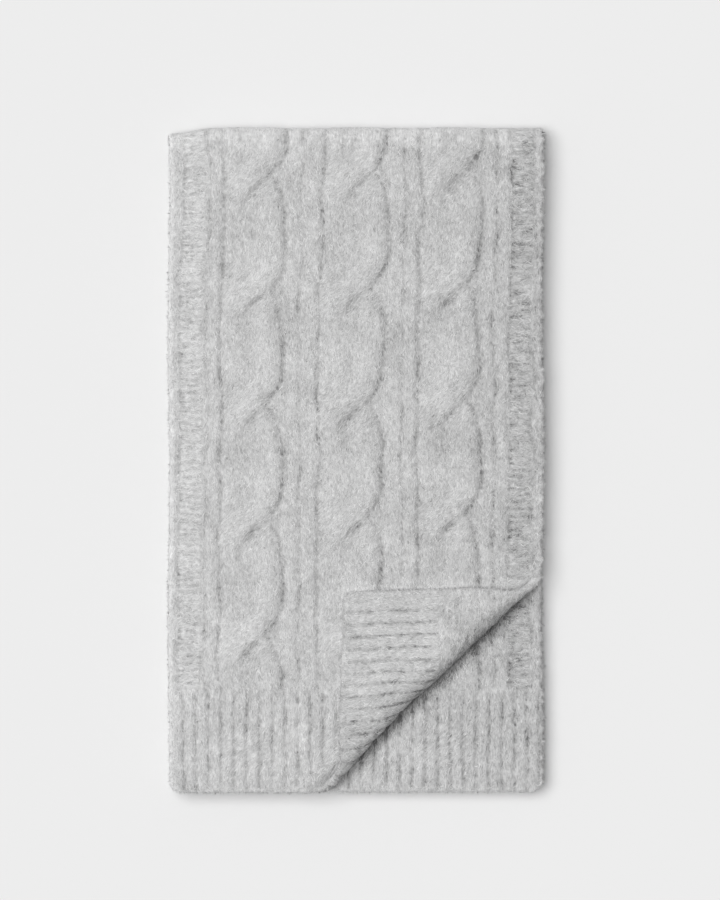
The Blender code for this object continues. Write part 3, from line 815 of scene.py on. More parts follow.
@dataclass(frozen=True)
class Cut:
    """The flat cut of a layer: a long rectangle with rounded corners at its end, and a seam."""

    half: float
    length: float
    corner_points: int = 10
    seam_points: int = 60
    seam_margin: float = 0.003

    def outline(self, inset: float) -> Array:
        """The outline drawn in by inset, counterclockwise from the left of the end.

        Args:
            inset: how far the outline is drawn in.

        Returns:
            The points as rows of two numbers.
        """
        side = self.half - inset
        radius = CORNER_RADIUS - inset
        centre = self.half - CORNER_RADIUS
        seam = self.length - inset * SEAM_SHARE
        turns = np.linspace(0.0, math.pi / 2, self.corner_points)
        arc = [(centre + radius * math.sin(t), CORNER_RADIUS - radius * math.cos(t)) for t in turns]
        columns = np.linspace(-centre, centre, round(2 * centre / COLUMN_STEP))[1:-1]
        last_row = self.length - self.seam_margin
        rows = np.linspace(CORNER_RADIUS, last_row, round(self.length / EDGE_STEP))[1:]
        points = [(x, inset) for x in columns] + arc + [(side, v) for v in rows]
        points += [(x, seam) for x in np.linspace(side, -side, self.seam_points)]
        points += [(-side, v) for v in rows[::-1]] + [(-x, v) for x, v in arc[::-1]]
        return np.array(points)

    def inset(self, x: Array, v: Array) -> tuple[Array, Array, Array]:
        """Looks at where places lie from the outline.

        Args:
            x: places across the cut.
            v: places along it.

        Returns:
            How far in from the outline each place lies, and the two parts of the way out to it.
        """
        beside = self.half - np.abs(x)
        seam = (self.length - v) / SEAM_SHARE
        inset = np.minimum(np.minimum(beside, v), seam)
        out_x = np.where(inset == beside, np.sign(x), 0.0)
        out_v = np.where(inset == beside, 0.0, np.where(inset == seam, SEAM_SHARE, -1.0))
        centre = self.half - CORNER_RADIUS
        over, under = np.abs(x) - centre, CORNER_RADIUS - v
        away = np.maximum(np.hypot(over, under), 1e-9)
        corner = (over > 0) & (under > 0)
        inset = np.where(corner, CORNER_RADIUS - away, inset)
        out_x = np.where(corner, np.sign(x) * over / away, out_x)
        out_v = np.where(corner, -under / away, out_v)
        return inset, out_x, out_v

    def roll_edge(self, x: Array, v: Array, lift: Array) -> tuple[Array, Array, Array, Array]:
        """Rolls the rolled-out edge back round the thickness of the cloth.

        Args:
            x: places across the cut.
            v: places along the cut.
            lift: heights above the surface.

        Returns:
            The places on the cut, the share of the thickness, and the part of the lift that goes up.
        """
        inset, out_x, out_v = self.inset(x, v)
        turn = np.clip(math.pi / 2 - (EDGE_RADIUS - inset) / EDGE_RADIUS, -math.pi / 2, math.pi / 2)
        rolled = np.where(inset < EDGE_RADIUS, EDGE_RADIUS * (1.0 - np.cos(turn)), inset)
        move = inset - rolled + lift * np.cos(turn)
        return x + move * out_x, v + move * out_v, np.sin(turn), lift * np.sin(turn)


# Where the middle of the edge lies once it is rolled out, and the loops from there to the flat cloth
EQUATOR = EDGE_RADIUS * (1.0 - math.pi / 2)
RIM_INSETS = [float(inset) for inset in np.linspace(EQUATOR, EDGE_RADIUS, 7)]


@dataclass(frozen=True)
class LongEdges:
    """The long edges and the back fold as they settle: scallops, waves and one sagging corner."""

    left_stitch: float = 0.00022
    right_stitch: float = 0.00016
    right_scallop: float = 0.00052
    wave: float = 0.0006
    wave_run: float = 0.031
    ripple: float = 0.00022
    drawn_in: float = 0.0010
    drawn_in_at_hem: float = 0.0004
    drawn_in_run: tuple[float, float] = (-0.20, -0.06)
    sag: float = 0.0038
    sag_across: float = 0.030
    sag_along: float = 0.090
    lowest: float = 0.0002
    ripples: tuple[Ripple, ...] = (Ripple(20, 0.013), Ripple(21, 0.013), Ripple(22, 0.013))

    def scallops(self, x: Array, y: Array, layer: int) -> Array:
        """How far the stitches stand out: fine on the left, and coarse on the right.

        Args:
            x: places across the scarf.
            y: places along it.
            layer: which layer it is.

        Returns:
            How far the edge stands out at each place.
        """
        ripple = self.ripples[layer](x, y)
        turns = 2.0 * math.pi * (y + 0.0006 * ripple) / KNIT.garter_pitch
        coarse = self.right_scallop * np.cos(turns / 2 + 0.8 * ripple)
        fine = np.where(x > 0, self.right_stitch, self.left_stitch) * np.cos(turns)
        return fine + np.where(x > 0, coarse, 0.0)

    def settle(self, x: Array, y: Array, z: Array, layer: int) -> Array:
        """Lets the back fold sag at its left corner, and makes the long edges uneven.

        Args:
            x: places across the scarf.
            y: places along it.
            z: heights.
            layer: which layer it is, because no two edges wander alike.

        Returns:
            The places as rows of three numbers.
        """
        near_corner = 1.0 - ease(-WIDTH / 2, -WIDTH / 2 + self.sag_across, x)
        low = near_corner * ease(HALF_LENGTH - self.sag_along, HALF_LENGTH, y)
        edge = (np.abs(x) / (WIDTH / 2)) ** 6
        wave = self.wave * np.sin(y / self.wave_run + 1.3 * np.sign(x))
        wave = wave + self.ripple * self.ripples[layer](x, y + z) + self.scallops(x, y, layer)
        drawn_in = blend(self.drawn_in_at_hem, self.drawn_in, ease(*self.drawn_in_run, y))
        across = x + (wave - np.where(x > 0, drawn_in, 0.0)) * np.sign(x) * edge
        return np.column_stack([across, y - self.sag * low, np.maximum(z, self.lowest)])


EDGES = LongEdges()


def back_fold(
    x: Array, along: Array, height: Array, middle: float, radius: float
) -> tuple[Array, Array, Array]:
    """Turns what runs past the back down and under, round a half circle.

    Args:
        x: places across the scarf.
        along: places along it, with the back fold still straight.
        height: heights over the wall's middle.
        middle: how high the wall's middle lies.
        radius: the radius of the wall's middle round the fold.

    Returns:
        The places across and along the scarf, and their heights.
    """
    past = np.clip(along - BACK_CENTRE, 0.0, None)
    angle = np.clip(past / radius, 0.0, math.pi)
    tail = np.clip(past - math.pi * radius, 0.0, None)
    turned = BACK_CENTRE + (radius + height) * np.sin(angle) - tail
    y = np.where(along > BACK_CENTRE, turned, along)
    return x, y, middle - radius + (radius + height) * np.cos(angle)


@dataclass(frozen=True)
class WoolFinish:
    """Brushed wool of light and dark fibres, as cloth and as nap."""

    name: str
    # Painted shade: the colour of the deepest shade, as under the corner's fold
    deep: Triple = (0.14, 0.14, 0.14)
    dark: Triple = (0.41, 0.41, 0.41)
    light: Triple = (0.90, 0.90, 0.90)
    dark_at: float = 0.3
    roughness: float = 0.92
    specular: float = 0.2
    sheen: float = 0.35
    sheen_roughness: float = 0.55
    relief: float = 0.00035
    tone_span: float = 0.38
    # Painted shade: the cloth under the nap comes out darker than its fibres, as shade among them
    cloth_ramp: tuple[float, float] = (0.237, 0.78)
    stroke_scale: Triple = (1 / 0.0011, 1 / 0.0046, 1.0)
    stroke_share: float = 0.6
    mottle_size: float = 0.0034

    def cloth(self) -> bpy.types.Material:
        """The finish of the cloth under its nap: strokes that follow the yarn, and mottling.

        Returns:
            The finish, which reads the shell's yarn map and its tones.
        """
        material, tree, shader = self.start(self.name)
        yarn = tree.nodes.new("ShaderNodeUVMap")
        yarn.uv_map = YARN_MAP
        place = tree.nodes.new("ShaderNodeTexCoord")
        strokes = self.noise(tree, yarn.outputs["UV"], self.stroke_scale, 1.0, 3.0)
        mottle = self.noise(tree, place.outputs["Object"], (1.0, 1.0, 1.0), 1 / self.mottle_size, 2.0)
        mottled = self.scaled(tree, mottle, 1.0 - self.stroke_share)
        mixed = self.scaled(tree, strokes, self.stroke_share, mottled)
        toned = self.scaled(tree, self.value(tree, TONE), self.tone_span, mixed)
        self.colour(tree, shader, toned, *self.cloth_ramp)
        bump = tree.nodes.new("ShaderNodeBump")
        bump.inputs["Strength"].default_value = 1.0
        bump.inputs["Distance"].default_value = self.relief
        tree.links.new(mixed, bump.inputs["Height"])
        tree.links.new(bump.outputs["Normal"], shader.inputs["Normal"])
        return material

    def nap(self) -> bpy.types.Material:
        """The finish of the nap: each fibre has its own shade."""
        material, tree, shader = self.start(self.name + "_nap")
        self.colour(tree, shader, self.value(tree, FIBRE_SHADE), 0.0, 1.0)
        return material

    def start(self, name: str) -> tuple[bpy.types.Material, Tree, bpy.types.Node]:
        """Starts a material whose shader has the constant values of the finish.

        Args:
            name: the name of the finish.

        Returns:
            The material, its nodes and its shader.
        """
        material = bpy.data.materials.new(name)
        material.use_nodes = True
        shader = material.node_tree.nodes["Principled BSDF"]
        shader.inputs["Roughness"].default_value = self.roughness
        shader.inputs["Metallic"].default_value = 0.0
        shader.inputs["Specular IOR Level"].default_value = self.specular
        shader.inputs["Sheen Weight"].default_value = self.sheen
        shader.inputs["Sheen Roughness"].default_value = self.sheen_roughness
        return material, material.node_tree, shader

    def value(self, tree: Tree, name: str) -> Socket:
        """Reads a value that the mesh keeps at each point."""
        attribute = tree.nodes.new("ShaderNodeAttribute")
        attribute.attribute_name = name
        return attribute.outputs["Fac"]

    def scaled(self, tree: Tree, source: Socket, share: float, added: Socket | None = None) -> Socket:
        """Takes a share of a value and adds another value to it.

        Args:
            tree: the nodes of the material.
            source: the value.
            share: how much of it is taken.
            added: what is added, or nothing.

        Returns:
            The sum.
        """
        maths = tree.nodes.new("ShaderNodeMath")
        maths.operation = "MULTIPLY" if added is None else "MULTIPLY_ADD"
        maths.inputs[1].default_value = share
        tree.links.new(source, maths.inputs[0])
        if added is not None:
            tree.links.new(added, maths.inputs[2])
        return maths.outputs[0]

    def noise(self, tree: Tree, source: Socket, stretch: Triple, scale: float, detail: float) -> Socket:
        """A noise over coordinates that are stretched first.

        Args:
            tree: the nodes of the material.
            source: the coordinates.
            stretch: how much each coordinate is stretched.
            scale: how fine the noise is.
            detail: how many finer layers it has.

        Returns:
            The noise.
        """
        mapping = tree.nodes.new("ShaderNodeMapping")
        mapping.inputs["Scale"].default_value = stretch
        tree.links.new(source, mapping.inputs["Vector"])
        noise = tree.nodes.new("ShaderNodeTexNoise")
        noise.inputs["Scale"].default_value = scale
        noise.inputs["Detail"].default_value = detail
        noise.inputs["Roughness"].default_value = 0.6
        tree.links.new(mapping.outputs["Vector"], noise.inputs["Vector"])
        return noise.outputs["Fac"]

    def colour(
        self, tree: Tree, shader: bpy.types.Node, source: Socket, low: float, high: float
    ) -> None:
        """Colours the wool: from painted deep shade, over the dark fibres, to the light ones.

        Args:
            tree: the nodes of the material.
            shader: the shader that gets the colour.
            source: the value that the colour goes by.
            low: the value of the painted deep shade.
            high: the value of the lightest fibres.
        """
        ramp = tree.nodes.new("ShaderNodeValToRGB")
        deep, light = ramp.color_ramp.elements
        deep.position, light.position = low, high
        deep.color, light.color = (*self.deep, 1.0), (*self.light, 1.0)
        dark = ramp.color_ramp.elements.new(low + self.dark_at * (high - low))
        dark.color = (*self.dark, 1.0)
        tree.links.new(source, ramp.inputs["Fac"])
        tree.links.new(ramp.outputs["Color"], shader.inputs["Base Color"])


def grid(across: Array, along: Array) -> tuple[Array, Array]:
    """Every place of a grid, from its places across and along."""
    x, v = np.meshgrid(across, along)
    return x.ravel(), v.ravel()


def fill(loop: Array, points: Array) -> tuple[Array, Array, Array]:
    """Triangulates the area inside a loop, through the points.

    Args:
        loop: the outline, counterclockwise.
        points: the points inside it.

    Returns:
        The flat points, the triangles, and the number of each of the loop's own points.
    """
    flat = [Vector(point) for point in np.vstack([loop, points]).tolist()]
    edges = [(index, (index + 1) % len(loop)) for index in range(len(loop))]
    found, _, faces, origins, _, _ = delaunay_2d_cdt(flat, edges, [], 1, 1e-7)
    own = np.zeros(len(loop), int)
    for index, sources in enumerate(origins):
        for source in sources:
            if source < len(loop):
                own[source] = index
    return np.array([tuple(point) for point in found]), np.array(faces), own


def add_mesh(name: str, points: Array, triangles: Array) -> bpy.types.Object:
    """Makes a smooth-shaded mesh object of triangles.

    Args:
        name: the name of the object.
        points: the points, as rows of three numbers.
        triangles: the triangles, as rows of three point numbers.

    Returns:
        The object.
    """
    mesh = bpy.data.meshes.new(name)
    mesh.vertices.add(len(points))
    mesh.vertices.foreach_set("co", points.astype(np.float32).ravel())
    mesh.loops.add(triangles.size)
    mesh.loops.foreach_set("vertex_index", triangles.astype(np.int32).ravel())
    mesh.polygons.add(len(triangles))
    mesh.polygons.foreach_set("loop_start", np.arange(0, triangles.size, 3, dtype=np.int32))
    mesh.update(calc_edges=True)
    mesh.shade_smooth()
    made = bpy.data.objects.new(name, mesh)
    bpy.context.scene.collection.objects.link(made)
    return made


def keep_values(piece: bpy.types.Object, name: str, values: Array) -> None:
    """Keeps a value at each point of a mesh, for its material."""
    attribute = piece.data.attributes.new(name, "FLOAT", "POINT")
    attribute.data.foreach_set("value", values.astype(np.float32))


def add_map(piece: bpy.types.Object, name: str, places: Array) -> None:
    """Adds a map that gives each corner of the triangles its place."""
    layer = piece.data.uv_layers.new(name=name)
    layer.data.foreach_set("uv", places.astype(np.float32).ravel())


@dataclass
class Layer:
    """A layer of the scarf, made as a thin closed shell over its flat cut."""

    name: str
    node: str
    slot: str
    index: int
    cut: Cut
    wall: float
    finish: WoolFinish

    # Painted light: how much lighter the rounded edges are, most on the left and along the hem, and what
    # turns down at the back
    edge_light: float = 0.06
    left_light: float = 0.50
    right_light: float = -0.02
    hem_light: float = 0.24
    scallop_light: float = 300.0
    reverse_light: float = 0.12
    reverse_hem_light: float = 0.05
    back_light: float = 0.26
    back_slant: float = 0.1
    back_starts: tuple[float, float] = (-0.005, 0.010)
    back_fades: tuple[float, float] = (0.016, 0.030)
    back_fading: float = 0.6
    edge_reach: float = 1.8
    edge_cover: float = 0.7

    # How the points inside the rim are laid: the shift of the columns, and the room round the sparse ones
    column_shift: float = 0.37
    sparse_room: float = 0.001

    def lay(self, x: Array, v: Array, height: Array) -> Array:
        """Lays flat points, at heights over the wall's middle, in place."""
        raise NotImplementedError

    def height(self, side: Side, x: Array, v: Array) -> Array:
        """The height of the knitting on a side of the plain wall."""
        raise NotImplementedError

    def shown(self, side: Side, x: Array, v: Array) -> Array:
        """Whether a place of a side can be seen, its edge apart."""
        raise NotImplementedError

    def curved(self, v: Array) -> Array:
        """Whether a row lies in the back fold, where rows stand closer together."""
        return v > HALF_LENGTH + BACK_CENTRE - 0.002

    def place(self, side: Side, x: Array, v: Array, lift: Array | float = 0.0) -> Array:
        """Places points of a side in space.

        Args:
            side: which side of the cloth.
            x: places across the rolled-out cut.
            v: places along it.
            lift: heights above the surface.

        Returns:
            The points as rows of three numbers.
        """
        on_x, on_v, share, up = self.cut.roll_edge(x, v, lift)
        stand = share * (self.wall / 2 + self.height(side, on_x, on_v)) + up
        return self.lay(on_x, on_v, side.value * stand)

    def tone(self, side: Side, x: Array, v: Array) -> Array:
        """How much lighter or darker the wool is than its middle: painted light on its rounded edges and on
        what turns down at the back.

        Args:
            side: which side of the cloth.
            x: places across the rolled-out cut.
            v: places along it.

        Returns:
            The tones, with 0 for the middle of the wool's range.
        """
        on_x, on_v, _, _ = self.cut.roll_edge(x, v, np.zeros_like(x))
        inset, out_x, out_v = self.cut.inset(x, v)
        plain, edge_light = KNIT.tone(side, on_x, on_v), self.reverse_light
        # Painted light on the rounded edges: on the face most on the left and along the hem, with the
        # scallops on the right; on the reverse evenly, and its hem is a little lighter
        if side is Side.FACE:
            scallops = self.scallop_light * EDGES.scallops(x, v - HALF_LENGTH, self.index)
            edge_light = self.edge_light + self.left_light * np.maximum(-out_x, 0.0)
            edge_light = edge_light + (self.right_light + scallops) * np.maximum(out_x, 0.0)
            edge_light = edge_light - self.hem_light * out_v
        else:
            plain = plain + self.reverse_hem_light * (1.0 - KNIT.in_body(v))
        # Painted light on what turns down at the back
        past = v - HALF_LENGTH - BACK_CENTRE
        painted_back_light = (self.back_light + self.back_slant * x) * ease(*self.back_starts, past)
        painted_back_light = painted_back_light * (1.0 - self.back_fading * ease(*self.back_fades, past))
        edge = 1.0 - ease(EQUATOR, self.edge_reach * EDGE_RADIUS, inset)
        return plain * (1.0 - self.edge_cover * edge) + edge_light * edge + painted_back_light

    def lattice(self, side: Side) -> Array:
        """The points inside the rim: close together where they show, and sparse elsewhere.

        Args:
            side: which side of the cloth.

        Returns:
            The points as rows of two numbers.
        """
        half, length = self.cut.half, self.cut.length
        inner = RIM_INSETS[-1] + RIM_MARGIN
        along = np.arange(0.0, length, ROW_STEP)
        x, v = grid(np.arange(-half, half, COLUMN_STEP) + COLUMN_STEP * self.column_shift, along)
        x = x + KNIT.drift(v)
        kept = self.shown(side, x, v) & (self.cut.inset(x, v)[0] > inner)
        close = np.column_stack([x[kept], v[kept]])
        rows = [row for row in np.arange(0.0, length, HIDDEN_STEP) if not self.curved(row)]
        rows += [row for row in along if self.curved(row)]
        x, v = grid(np.arange(-half, half, HIDDEN_STEP), rows)
        kept = ~self.shown(side, x, v) & (self.cut.inset(x, v)[0] > inner + self.sparse_room)
        return np.vstack([close, np.column_stack([x[kept], v[kept]])])

    def build(self) -> bpy.types.Object:
        """Builds the shell: two sides over the cut, joined along the middle of the edge.

        Returns:
            The finished piece.
        """
        flat, points, tones, faces, sides, equators = [], [], [], [], [], []
        for side in Side:
            loops = [self.cut.outline(inset) for inset in RIM_INSETS]
            first = sum(len(part) for part in flat)
            count = len(loops[0])
            inner, triangles, own = fill(loops[-1], self.lattice(side))
            part = np.vstack([*loops[:-1], inner])
            flat.append(part)
            points.append(self.place(side, *part.T))
            tones.append(self.tone(side, *part.T))
            numbers = [first + index * count + np.arange(count) for index in range(len(loops) - 1)]
            base = first + (len(loops) - 1) * count
            numbers.append(base + own)
            equators.append(numbers[0])
            rim = []
            for outer, inside in zip(numbers, numbers[1:]):
                ahead, inside_ahead = np.roll(outer, -1), np.roll(inside, -1)
                rim.append(np.column_stack([outer, ahead, inside_ahead]))
                rim.append(np.column_stack([outer, inside_ahead, inside]))
            faces.append(np.vstack([*rim, base + triangles])[:, :: side.value])
            sides.append(np.full(len(faces[-1]), side.value))
        flat, points = np.vstack(flat), np.vstack(points)
        corners, sides = np.vstack(faces), np.concatenate(sides)
        keep = np.arange(len(points))
        keep[equators[1]] = equators[0]
        used, compact = np.unique(keep[corners], return_inverse=True)
        piece = add_mesh(self.name, points[used], compact.reshape(corners.shape))
        keep_values(piece, TONE, np.concatenate(tones)[used])
        self.map_cloth(piece, flat[corners], sides)
        piece.data.materials.append(self.finish.cloth())
        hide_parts(self.node)
        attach(piece, BODY)
        return piece

    def map_cloth(self, piece: bpy.types.Object, corners: Array, sides: Array) -> None:
        """Gives the shell its two maps: one that follows the yarn, and one that lays it out flat.

        Args:
            piece: the shell.
            corners: the flat place of each corner of each triangle.
            sides: which side of the cloth each triangle is on.
        """
        x, v = corners[..., 0].ravel(), corners[..., 1].ravel()
        on_face = np.repeat(sides == Side.FACE.value, 3)
        yarn = np.empty((len(x), 2))
        for side, chosen in ((Side.FACE, on_face), (Side.REVERSE, ~on_face)):
            a, b = x[chosen], v[chosen]
            across = KNIT.crosswise(side, a, b) > 0.5
            strand = a - KNIT.strands(a, b)
            yarn[chosen] = np.column_stack([np.where(across, b, strand), np.where(across, a, b)])
        margin = 0.003
        half = self.cut.half + margin
        size = max(4 * half, self.cut.length + 2 * margin)
        start = np.where(on_face, half, 3 * half)
        add_map(piece, FLAT_MAP, np.column_stack([x + start, v + margin]) / size)
        add_map(piece, YARN_MAP, yarn)


@dataclass
class TopLayer(Layer):
    """The end on top: ribbed hem, cables, borders, turned-back corner and the outer back fold."""

    # Painted shade on the nose of the corner's fold and farther in on the flap, and painted light near its
    # top end
    nose_width: float = 0.0052
    nose_shade: float = 0.22
    nose_shade_in_middle: float = 0.11
    nose_shade_at_top: float = -0.30
    flap_shade: float = 0.20
    flap_shade_run: tuple[float, float] = (0.005, 0.0125)
    hem_shade: float = 0.19
    hem_shade_run: tuple[float, float] = (0.014, 0.030)
    hem_shade_along: tuple[float, float] = (0.055, 0.085)
    top_light: float = 0.13
    top_light_along: tuple[float, float] = (0.155, 0.178)

    # Painted light beside the flap's upper and left edges, over the shadow where they meet the cloth: two
    # lines that slope away from its corner
    flap_corner: tuple[float, float] = (-0.0043, 0.128)
    flap_top: float = 0.1338
    flap_top_slope: float = 0.047
    flap_top_light: float = 0.256
    flap_top_run: Run = (-0.008, 0.002, 0.108, 0.118)
    flap_left: float = -0.0085
    flap_left_slope: float = 0.061
    flap_left_light: float = 0.048
    flap_left_run: Run = (0.004, 0.020, 0.130, 0.136)
    flap_light_width: float = 0.0020

    # The line of painted shade where the hem rolls under
    rolled_at: float = 0.0032
    rolled_width: float = 0.0010
    rolled_shade: float = 0.09
    rolled_run: tuple[float, float] = (0.112, 0.119)

    # Where the relief gives way: beside the flap, at the corner's fold, and round the back fold
    beside_flap: float = 0.006
    face_falls: tuple[float, float] = (-0.010, -0.002)
    plain_falls: tuple[float, float] = (-0.006, 0.0)
    reverse_rises: tuple[float, float] = (-0.001, 0.004)
    relief_falls: tuple[tuple[float, float, float], ...] = ((0.75, 0.2, 1.25), (0.25, 1.95, 2.67))

    # What shows: how far the reverse and the nose reach, and what the flap and the floor hide
    reverse_shows: float = -0.002
    nose_shows: float = -0.006
    nose_ends: float = 0.020
    flap_hides: float = 0.008
    floor_hides: float = 0.004

    def lay(self, x: Array, v: Array, height: Array) -> Array:
        """Lays the turned-back corner, the flat stretch and the outer fold down to the surface.

        Args:
            x: places across the cut.
            v: places along it.
            height: heights over the wall's middle.

        Returns:
            The points as rows of three numbers.
        """
        length, reach, rise, heading = SECTION
        past = CORNER.past(x, v) + CORNER.bow_kept(x, v)
        turned = np.interp(past, length, heading)
        move = np.interp(past, length, reach) - past - height * np.sin(turned)
        pull = CORNER.pulled_out(x, v)
        across = x + (move + pull) / DIAGONAL
        along = v - HALF_LENGTH - (move - pull) / DIAGONAL
        up = np.interp(past, length, rise) + height * np.cos(turned)
        return EDGES.settle(*back_fold(across, along, up, TOP_MIDDLE, OUTER_FOLD_RADIUS), self.index)

    def height(self, side: Side, x: Array, v: Array) -> Array:
        """The face is plain where the corner covers it, and the reverse is raised on the corner.

        Args:
            side: which side of the cloth.
            x: places across the cut.
            v: places along it.

        Returns:
            The heights above the plain wall.
        """
        past = CORNER.past(x, v)
        if side is Side.REVERSE:
            return KNIT.reverse(x, v) * ease(*self.reverse_rises, past)
        beside = 1.0 - ease(FLAP_LEFT, FLAP_LEFT + self.beside_flap, x)
        above = ease(FLAP_TOP - self.beside_flap, FLAP_TOP, v)
        shown = (beside + above - beside * above) * (1.0 - ease(*self.face_falls, past))
        angle = (v - HALF_LENGTH - BACK_CENTRE) / OUTER_FOLD_RADIUS
        fallen = sum(share * ease(start, end, angle) for share, start, end in self.relief_falls)
        plain = COVERED_HEIGHT * (1.0 - ease(*self.plain_falls, past))
        return blend(plain, KNIT.face(x, v), shown) * (1.0 - fallen)

    def fold_shade(self, side: Side, x: Array, v: Array) -> Array:
        """How much darker the wool is where the turned corner rounds away from the light.

        Args:
            side: which side of the cloth.
            x: places across the rolled-out cut.
            v: places along it.

        Returns:
            What the shade takes from the tone.
        """
        across, along, _ = self.place(side, x, v).T
        inside, middle = -CORNER.beyond(across, along + HALF_LENGTH), CORNER.in_middle(x, v)
        from_hem = CORNER.along(x, v)
        shade = self.nose_shade + self.nose_shade_in_middle * middle
        shade = shade + self.nose_shade_at_top * CORNER.at_top_end(x, v)
        on_flap = 1.0 - ease(*self.flap_shade_run, inside)
        near_hem = (1.0 - ease(*self.hem_shade_run, inside)) * (1.0 - ease(*self.hem_shade_along, from_hem))
        shaded = np.maximum(self.flap_shade * on_flap * middle, self.hem_shade * near_hem)
        shaded = shaded + shade * (1.0 - ease(0.0, self.nose_width, inside))
        shaded = shaded - self.top_light * on_flap * ease(*self.top_light_along, from_hem)
        return shaded * ease(0.0, 0.003, CORNER.past(x, v))

    def tone(self, side: Side, x: Array, v: Array) -> Array:
        """Painted shade darkens the wool at the corner's fold and where the hem rolls, and painted light
        lightens it beside the flap.

        Args:
            side: which side of the cloth.
            x: places across the rolled-out cut.
            v: places along it.

        Returns:
            The tones, with 0 for the middle of the wool's range.
        """
        tone = super().tone(side, x, v) - self.fold_shade(side, x, v)
        if side is Side.REVERSE:
            return tone
        corner_x, corner_v = self.flap_corner
        over_top = v - self.flap_top - self.flap_top_slope * (x - corner_x)
        over_left = self.flap_left - self.flap_left_slope * (corner_v - v) - x
        top = bell(over_top, self.flap_light_width) * span(self.flap_top_run, x)
        left = bell(over_left, self.flap_light_width) * span(self.flap_left_run, v)
        rolled = bell(v - self.rolled_at, self.rolled_width) * (1.0 - ease(*self.rolled_run, np.abs(x)))
        return tone + self.flap_top_light * top + self.flap_left_light * left - self.rolled_shade * rolled

    def shown(self, side: Side, x: Array, v: Array) -> Array:
        """The face outside the turned corner, and the reverse on it.

        Args:
            side: which side of the cloth.
            x: places across the cut.
            v: places along it.

        Returns:
            Whether each place can be seen.
        """
        past = CORNER.past(x, v)
        if side is Side.REVERSE:
            return past > self.reverse_shows
        covered = (x > FLAP_LEFT + self.flap_hides) & (v < FLAP_TOP - self.flap_hides)
        on_nose, under_fold = past > self.nose_shows, past > self.nose_ends
        on_floor = v > self.cut.length - TAIL - self.floor_hides
        return (~covered | on_nose) & ~under_fold & ~on_floor


@dataclass
class UnderLayer(Layer):
    """The other end, below: it shows beside the turned corner and at the edges."""

    # Painted shade: a little over the whole layer, and the shadow that the turned-back corner throws
    darker: float = 0.02
    thrown: float = 0.32
    thrown_in_middle: float = 0.24
    thrown_at_top: float = -0.50
    thrown_at_hem: float = -0.22
    thrown_run: Run = (-0.004, 0.0, 0.0016, 0.0115)
    thrown_from_edge: tuple[float, float] = (0.0005, 0.007)

    # Where the face is low along the end, and how far under the corner it is still close
    low_end: tuple[float, float] = (0.003, 0.008)
    close_under: float = 0.004

    def lay(self, x: Array, v: Array, height: Array) -> Array:
        """Lays the flat stretch and the inner fold."""
        folded = back_fold(x, v - HALF_LENGTH, height, UNDER_MIDDLE, INNER_FOLD_RADIUS)
        return EDGES.settle(*folded, self.index)

    def height(self, side: Side, x: Array, v: Array) -> Array:
        """The face is raised where it shows and along its end, and the reverse is plain.

        Args:
            side: which side of the cloth.
            x: places across the cut.
            v: places along it.

        Returns:
            The heights above the plain wall.
        """
        if side is Side.REVERSE:
            return np.zeros_like(x)
        height = KNIT.face(x, v)
        edge = 1.0 - ease(*self.low_end, v)
        hidden = blend(HIDDEN_HEIGHT, np.minimum(height, HIDDEN_HEIGHT), edge)
        flat = v - HALF_LENGTH < BACK_CENTRE
        return np.where(flat, blend(hidden, height, ease(0.0, UNDER_SHOWS, CORNER.past(x, v))), 0.0)

    def shown(self, side: Side, x: Array, v: Array) -> Array:
        """The face beside the turned corner."""
        return (CORNER.past(x, v) > -self.close_under) & (side is Side.FACE)

    def tone(self, side: Side, x: Array, v: Array) -> Array:
        """The wool is a little darker all over, and darker still in the painted shadow of the turned-back
        corner.

        Args:
            side: which side of the cloth.
            x: places across the rolled-out cut.
            v: places along it.

        Returns:
            The tones, with 0 for the middle of the wool's range.
        """
        shade = self.thrown + self.thrown_in_middle * CORNER.in_middle(x, v)
        shade = shade + self.thrown_at_top * CORNER.at_top_end(x, v)
        shade = shade + self.thrown_at_hem * CORNER.at_hem_end(x, v)
        shaded = span(self.thrown_run, CORNER.beyond(x, v)) * ease(*self.thrown_from_edge, v)
        return super().tone(side, x, v) - self.darker - shade * shaded


@dataclass
class HiddenLayers(Layer):
    """The two layers in the middle: one cloth with a fold at the front, seen only at its edges."""

    # Painted light on the front fold
    fold_light: float = 0.22
    fold_light_width: float = 0.008
    fold_shows: float = 0.006
    fold_curves: float = 0.007

    def lay(self, x: Array, v: Array, height: Array) -> Array:
        """Lays the cloth along the surface, up round the front fold and back on top of itself.

        Args:
            x: places across the cut.
            v: places along it.
            height: heights over the wall's middle.

        Returns:
            The points as rows of three numbers.
        """
        radius = HIDDEN_LAYER / 2
        angle = np.clip((v - HIDDEN_RUN) / radius, 0.0, math.pi)
        past = np.clip(v - HIDDEN_RUN - math.pi * radius, 0.0, None)
        before = np.clip(HIDDEN_RUN - v, 0.0, None)
        y = FRONT_CENTRE + before + past - (radius + height) * np.sin(angle)
        z = HIDDEN_LAYER - (radius + height) * np.cos(angle)
        centre = self.cut.half - CORNER_RADIUS
        short = np.clip((CORNER_RADIUS - y - HALF_LENGTH) / CORNER_RADIUS, 0.0, 1.0)
        over = np.maximum(np.abs(x) - centre, 0.0) * (1.0 - np.sqrt(1.0 - short**2))
        return EDGES.settle(x - over * np.sign(x), y, z, self.index)

    def height(self, side: Side, x: Array, v: Array) -> Array:
        """Plain, because no knitting shows."""
        return np.zeros_like(x)

    def tone(self, side: Side, x: Array, v: Array) -> Array:
        """Painted light makes the wool lighter round the front fold."""
        in_fold = bell(v - self.cut.length / 2, self.fold_light_width)
        return super().tone(side, x, v) + self.fold_light * in_fold

    def shown(self, side: Side, x: Array, v: Array) -> Array:
        """The front fold."""
        return (np.abs(v - self.cut.length / 2) < self.fold_shows) & (side is Side.FACE)

    def curved(self, v: Array) -> Array:
        """The front fold."""
        return np.abs(v - self.cut.length / 2) < self.fold_curves


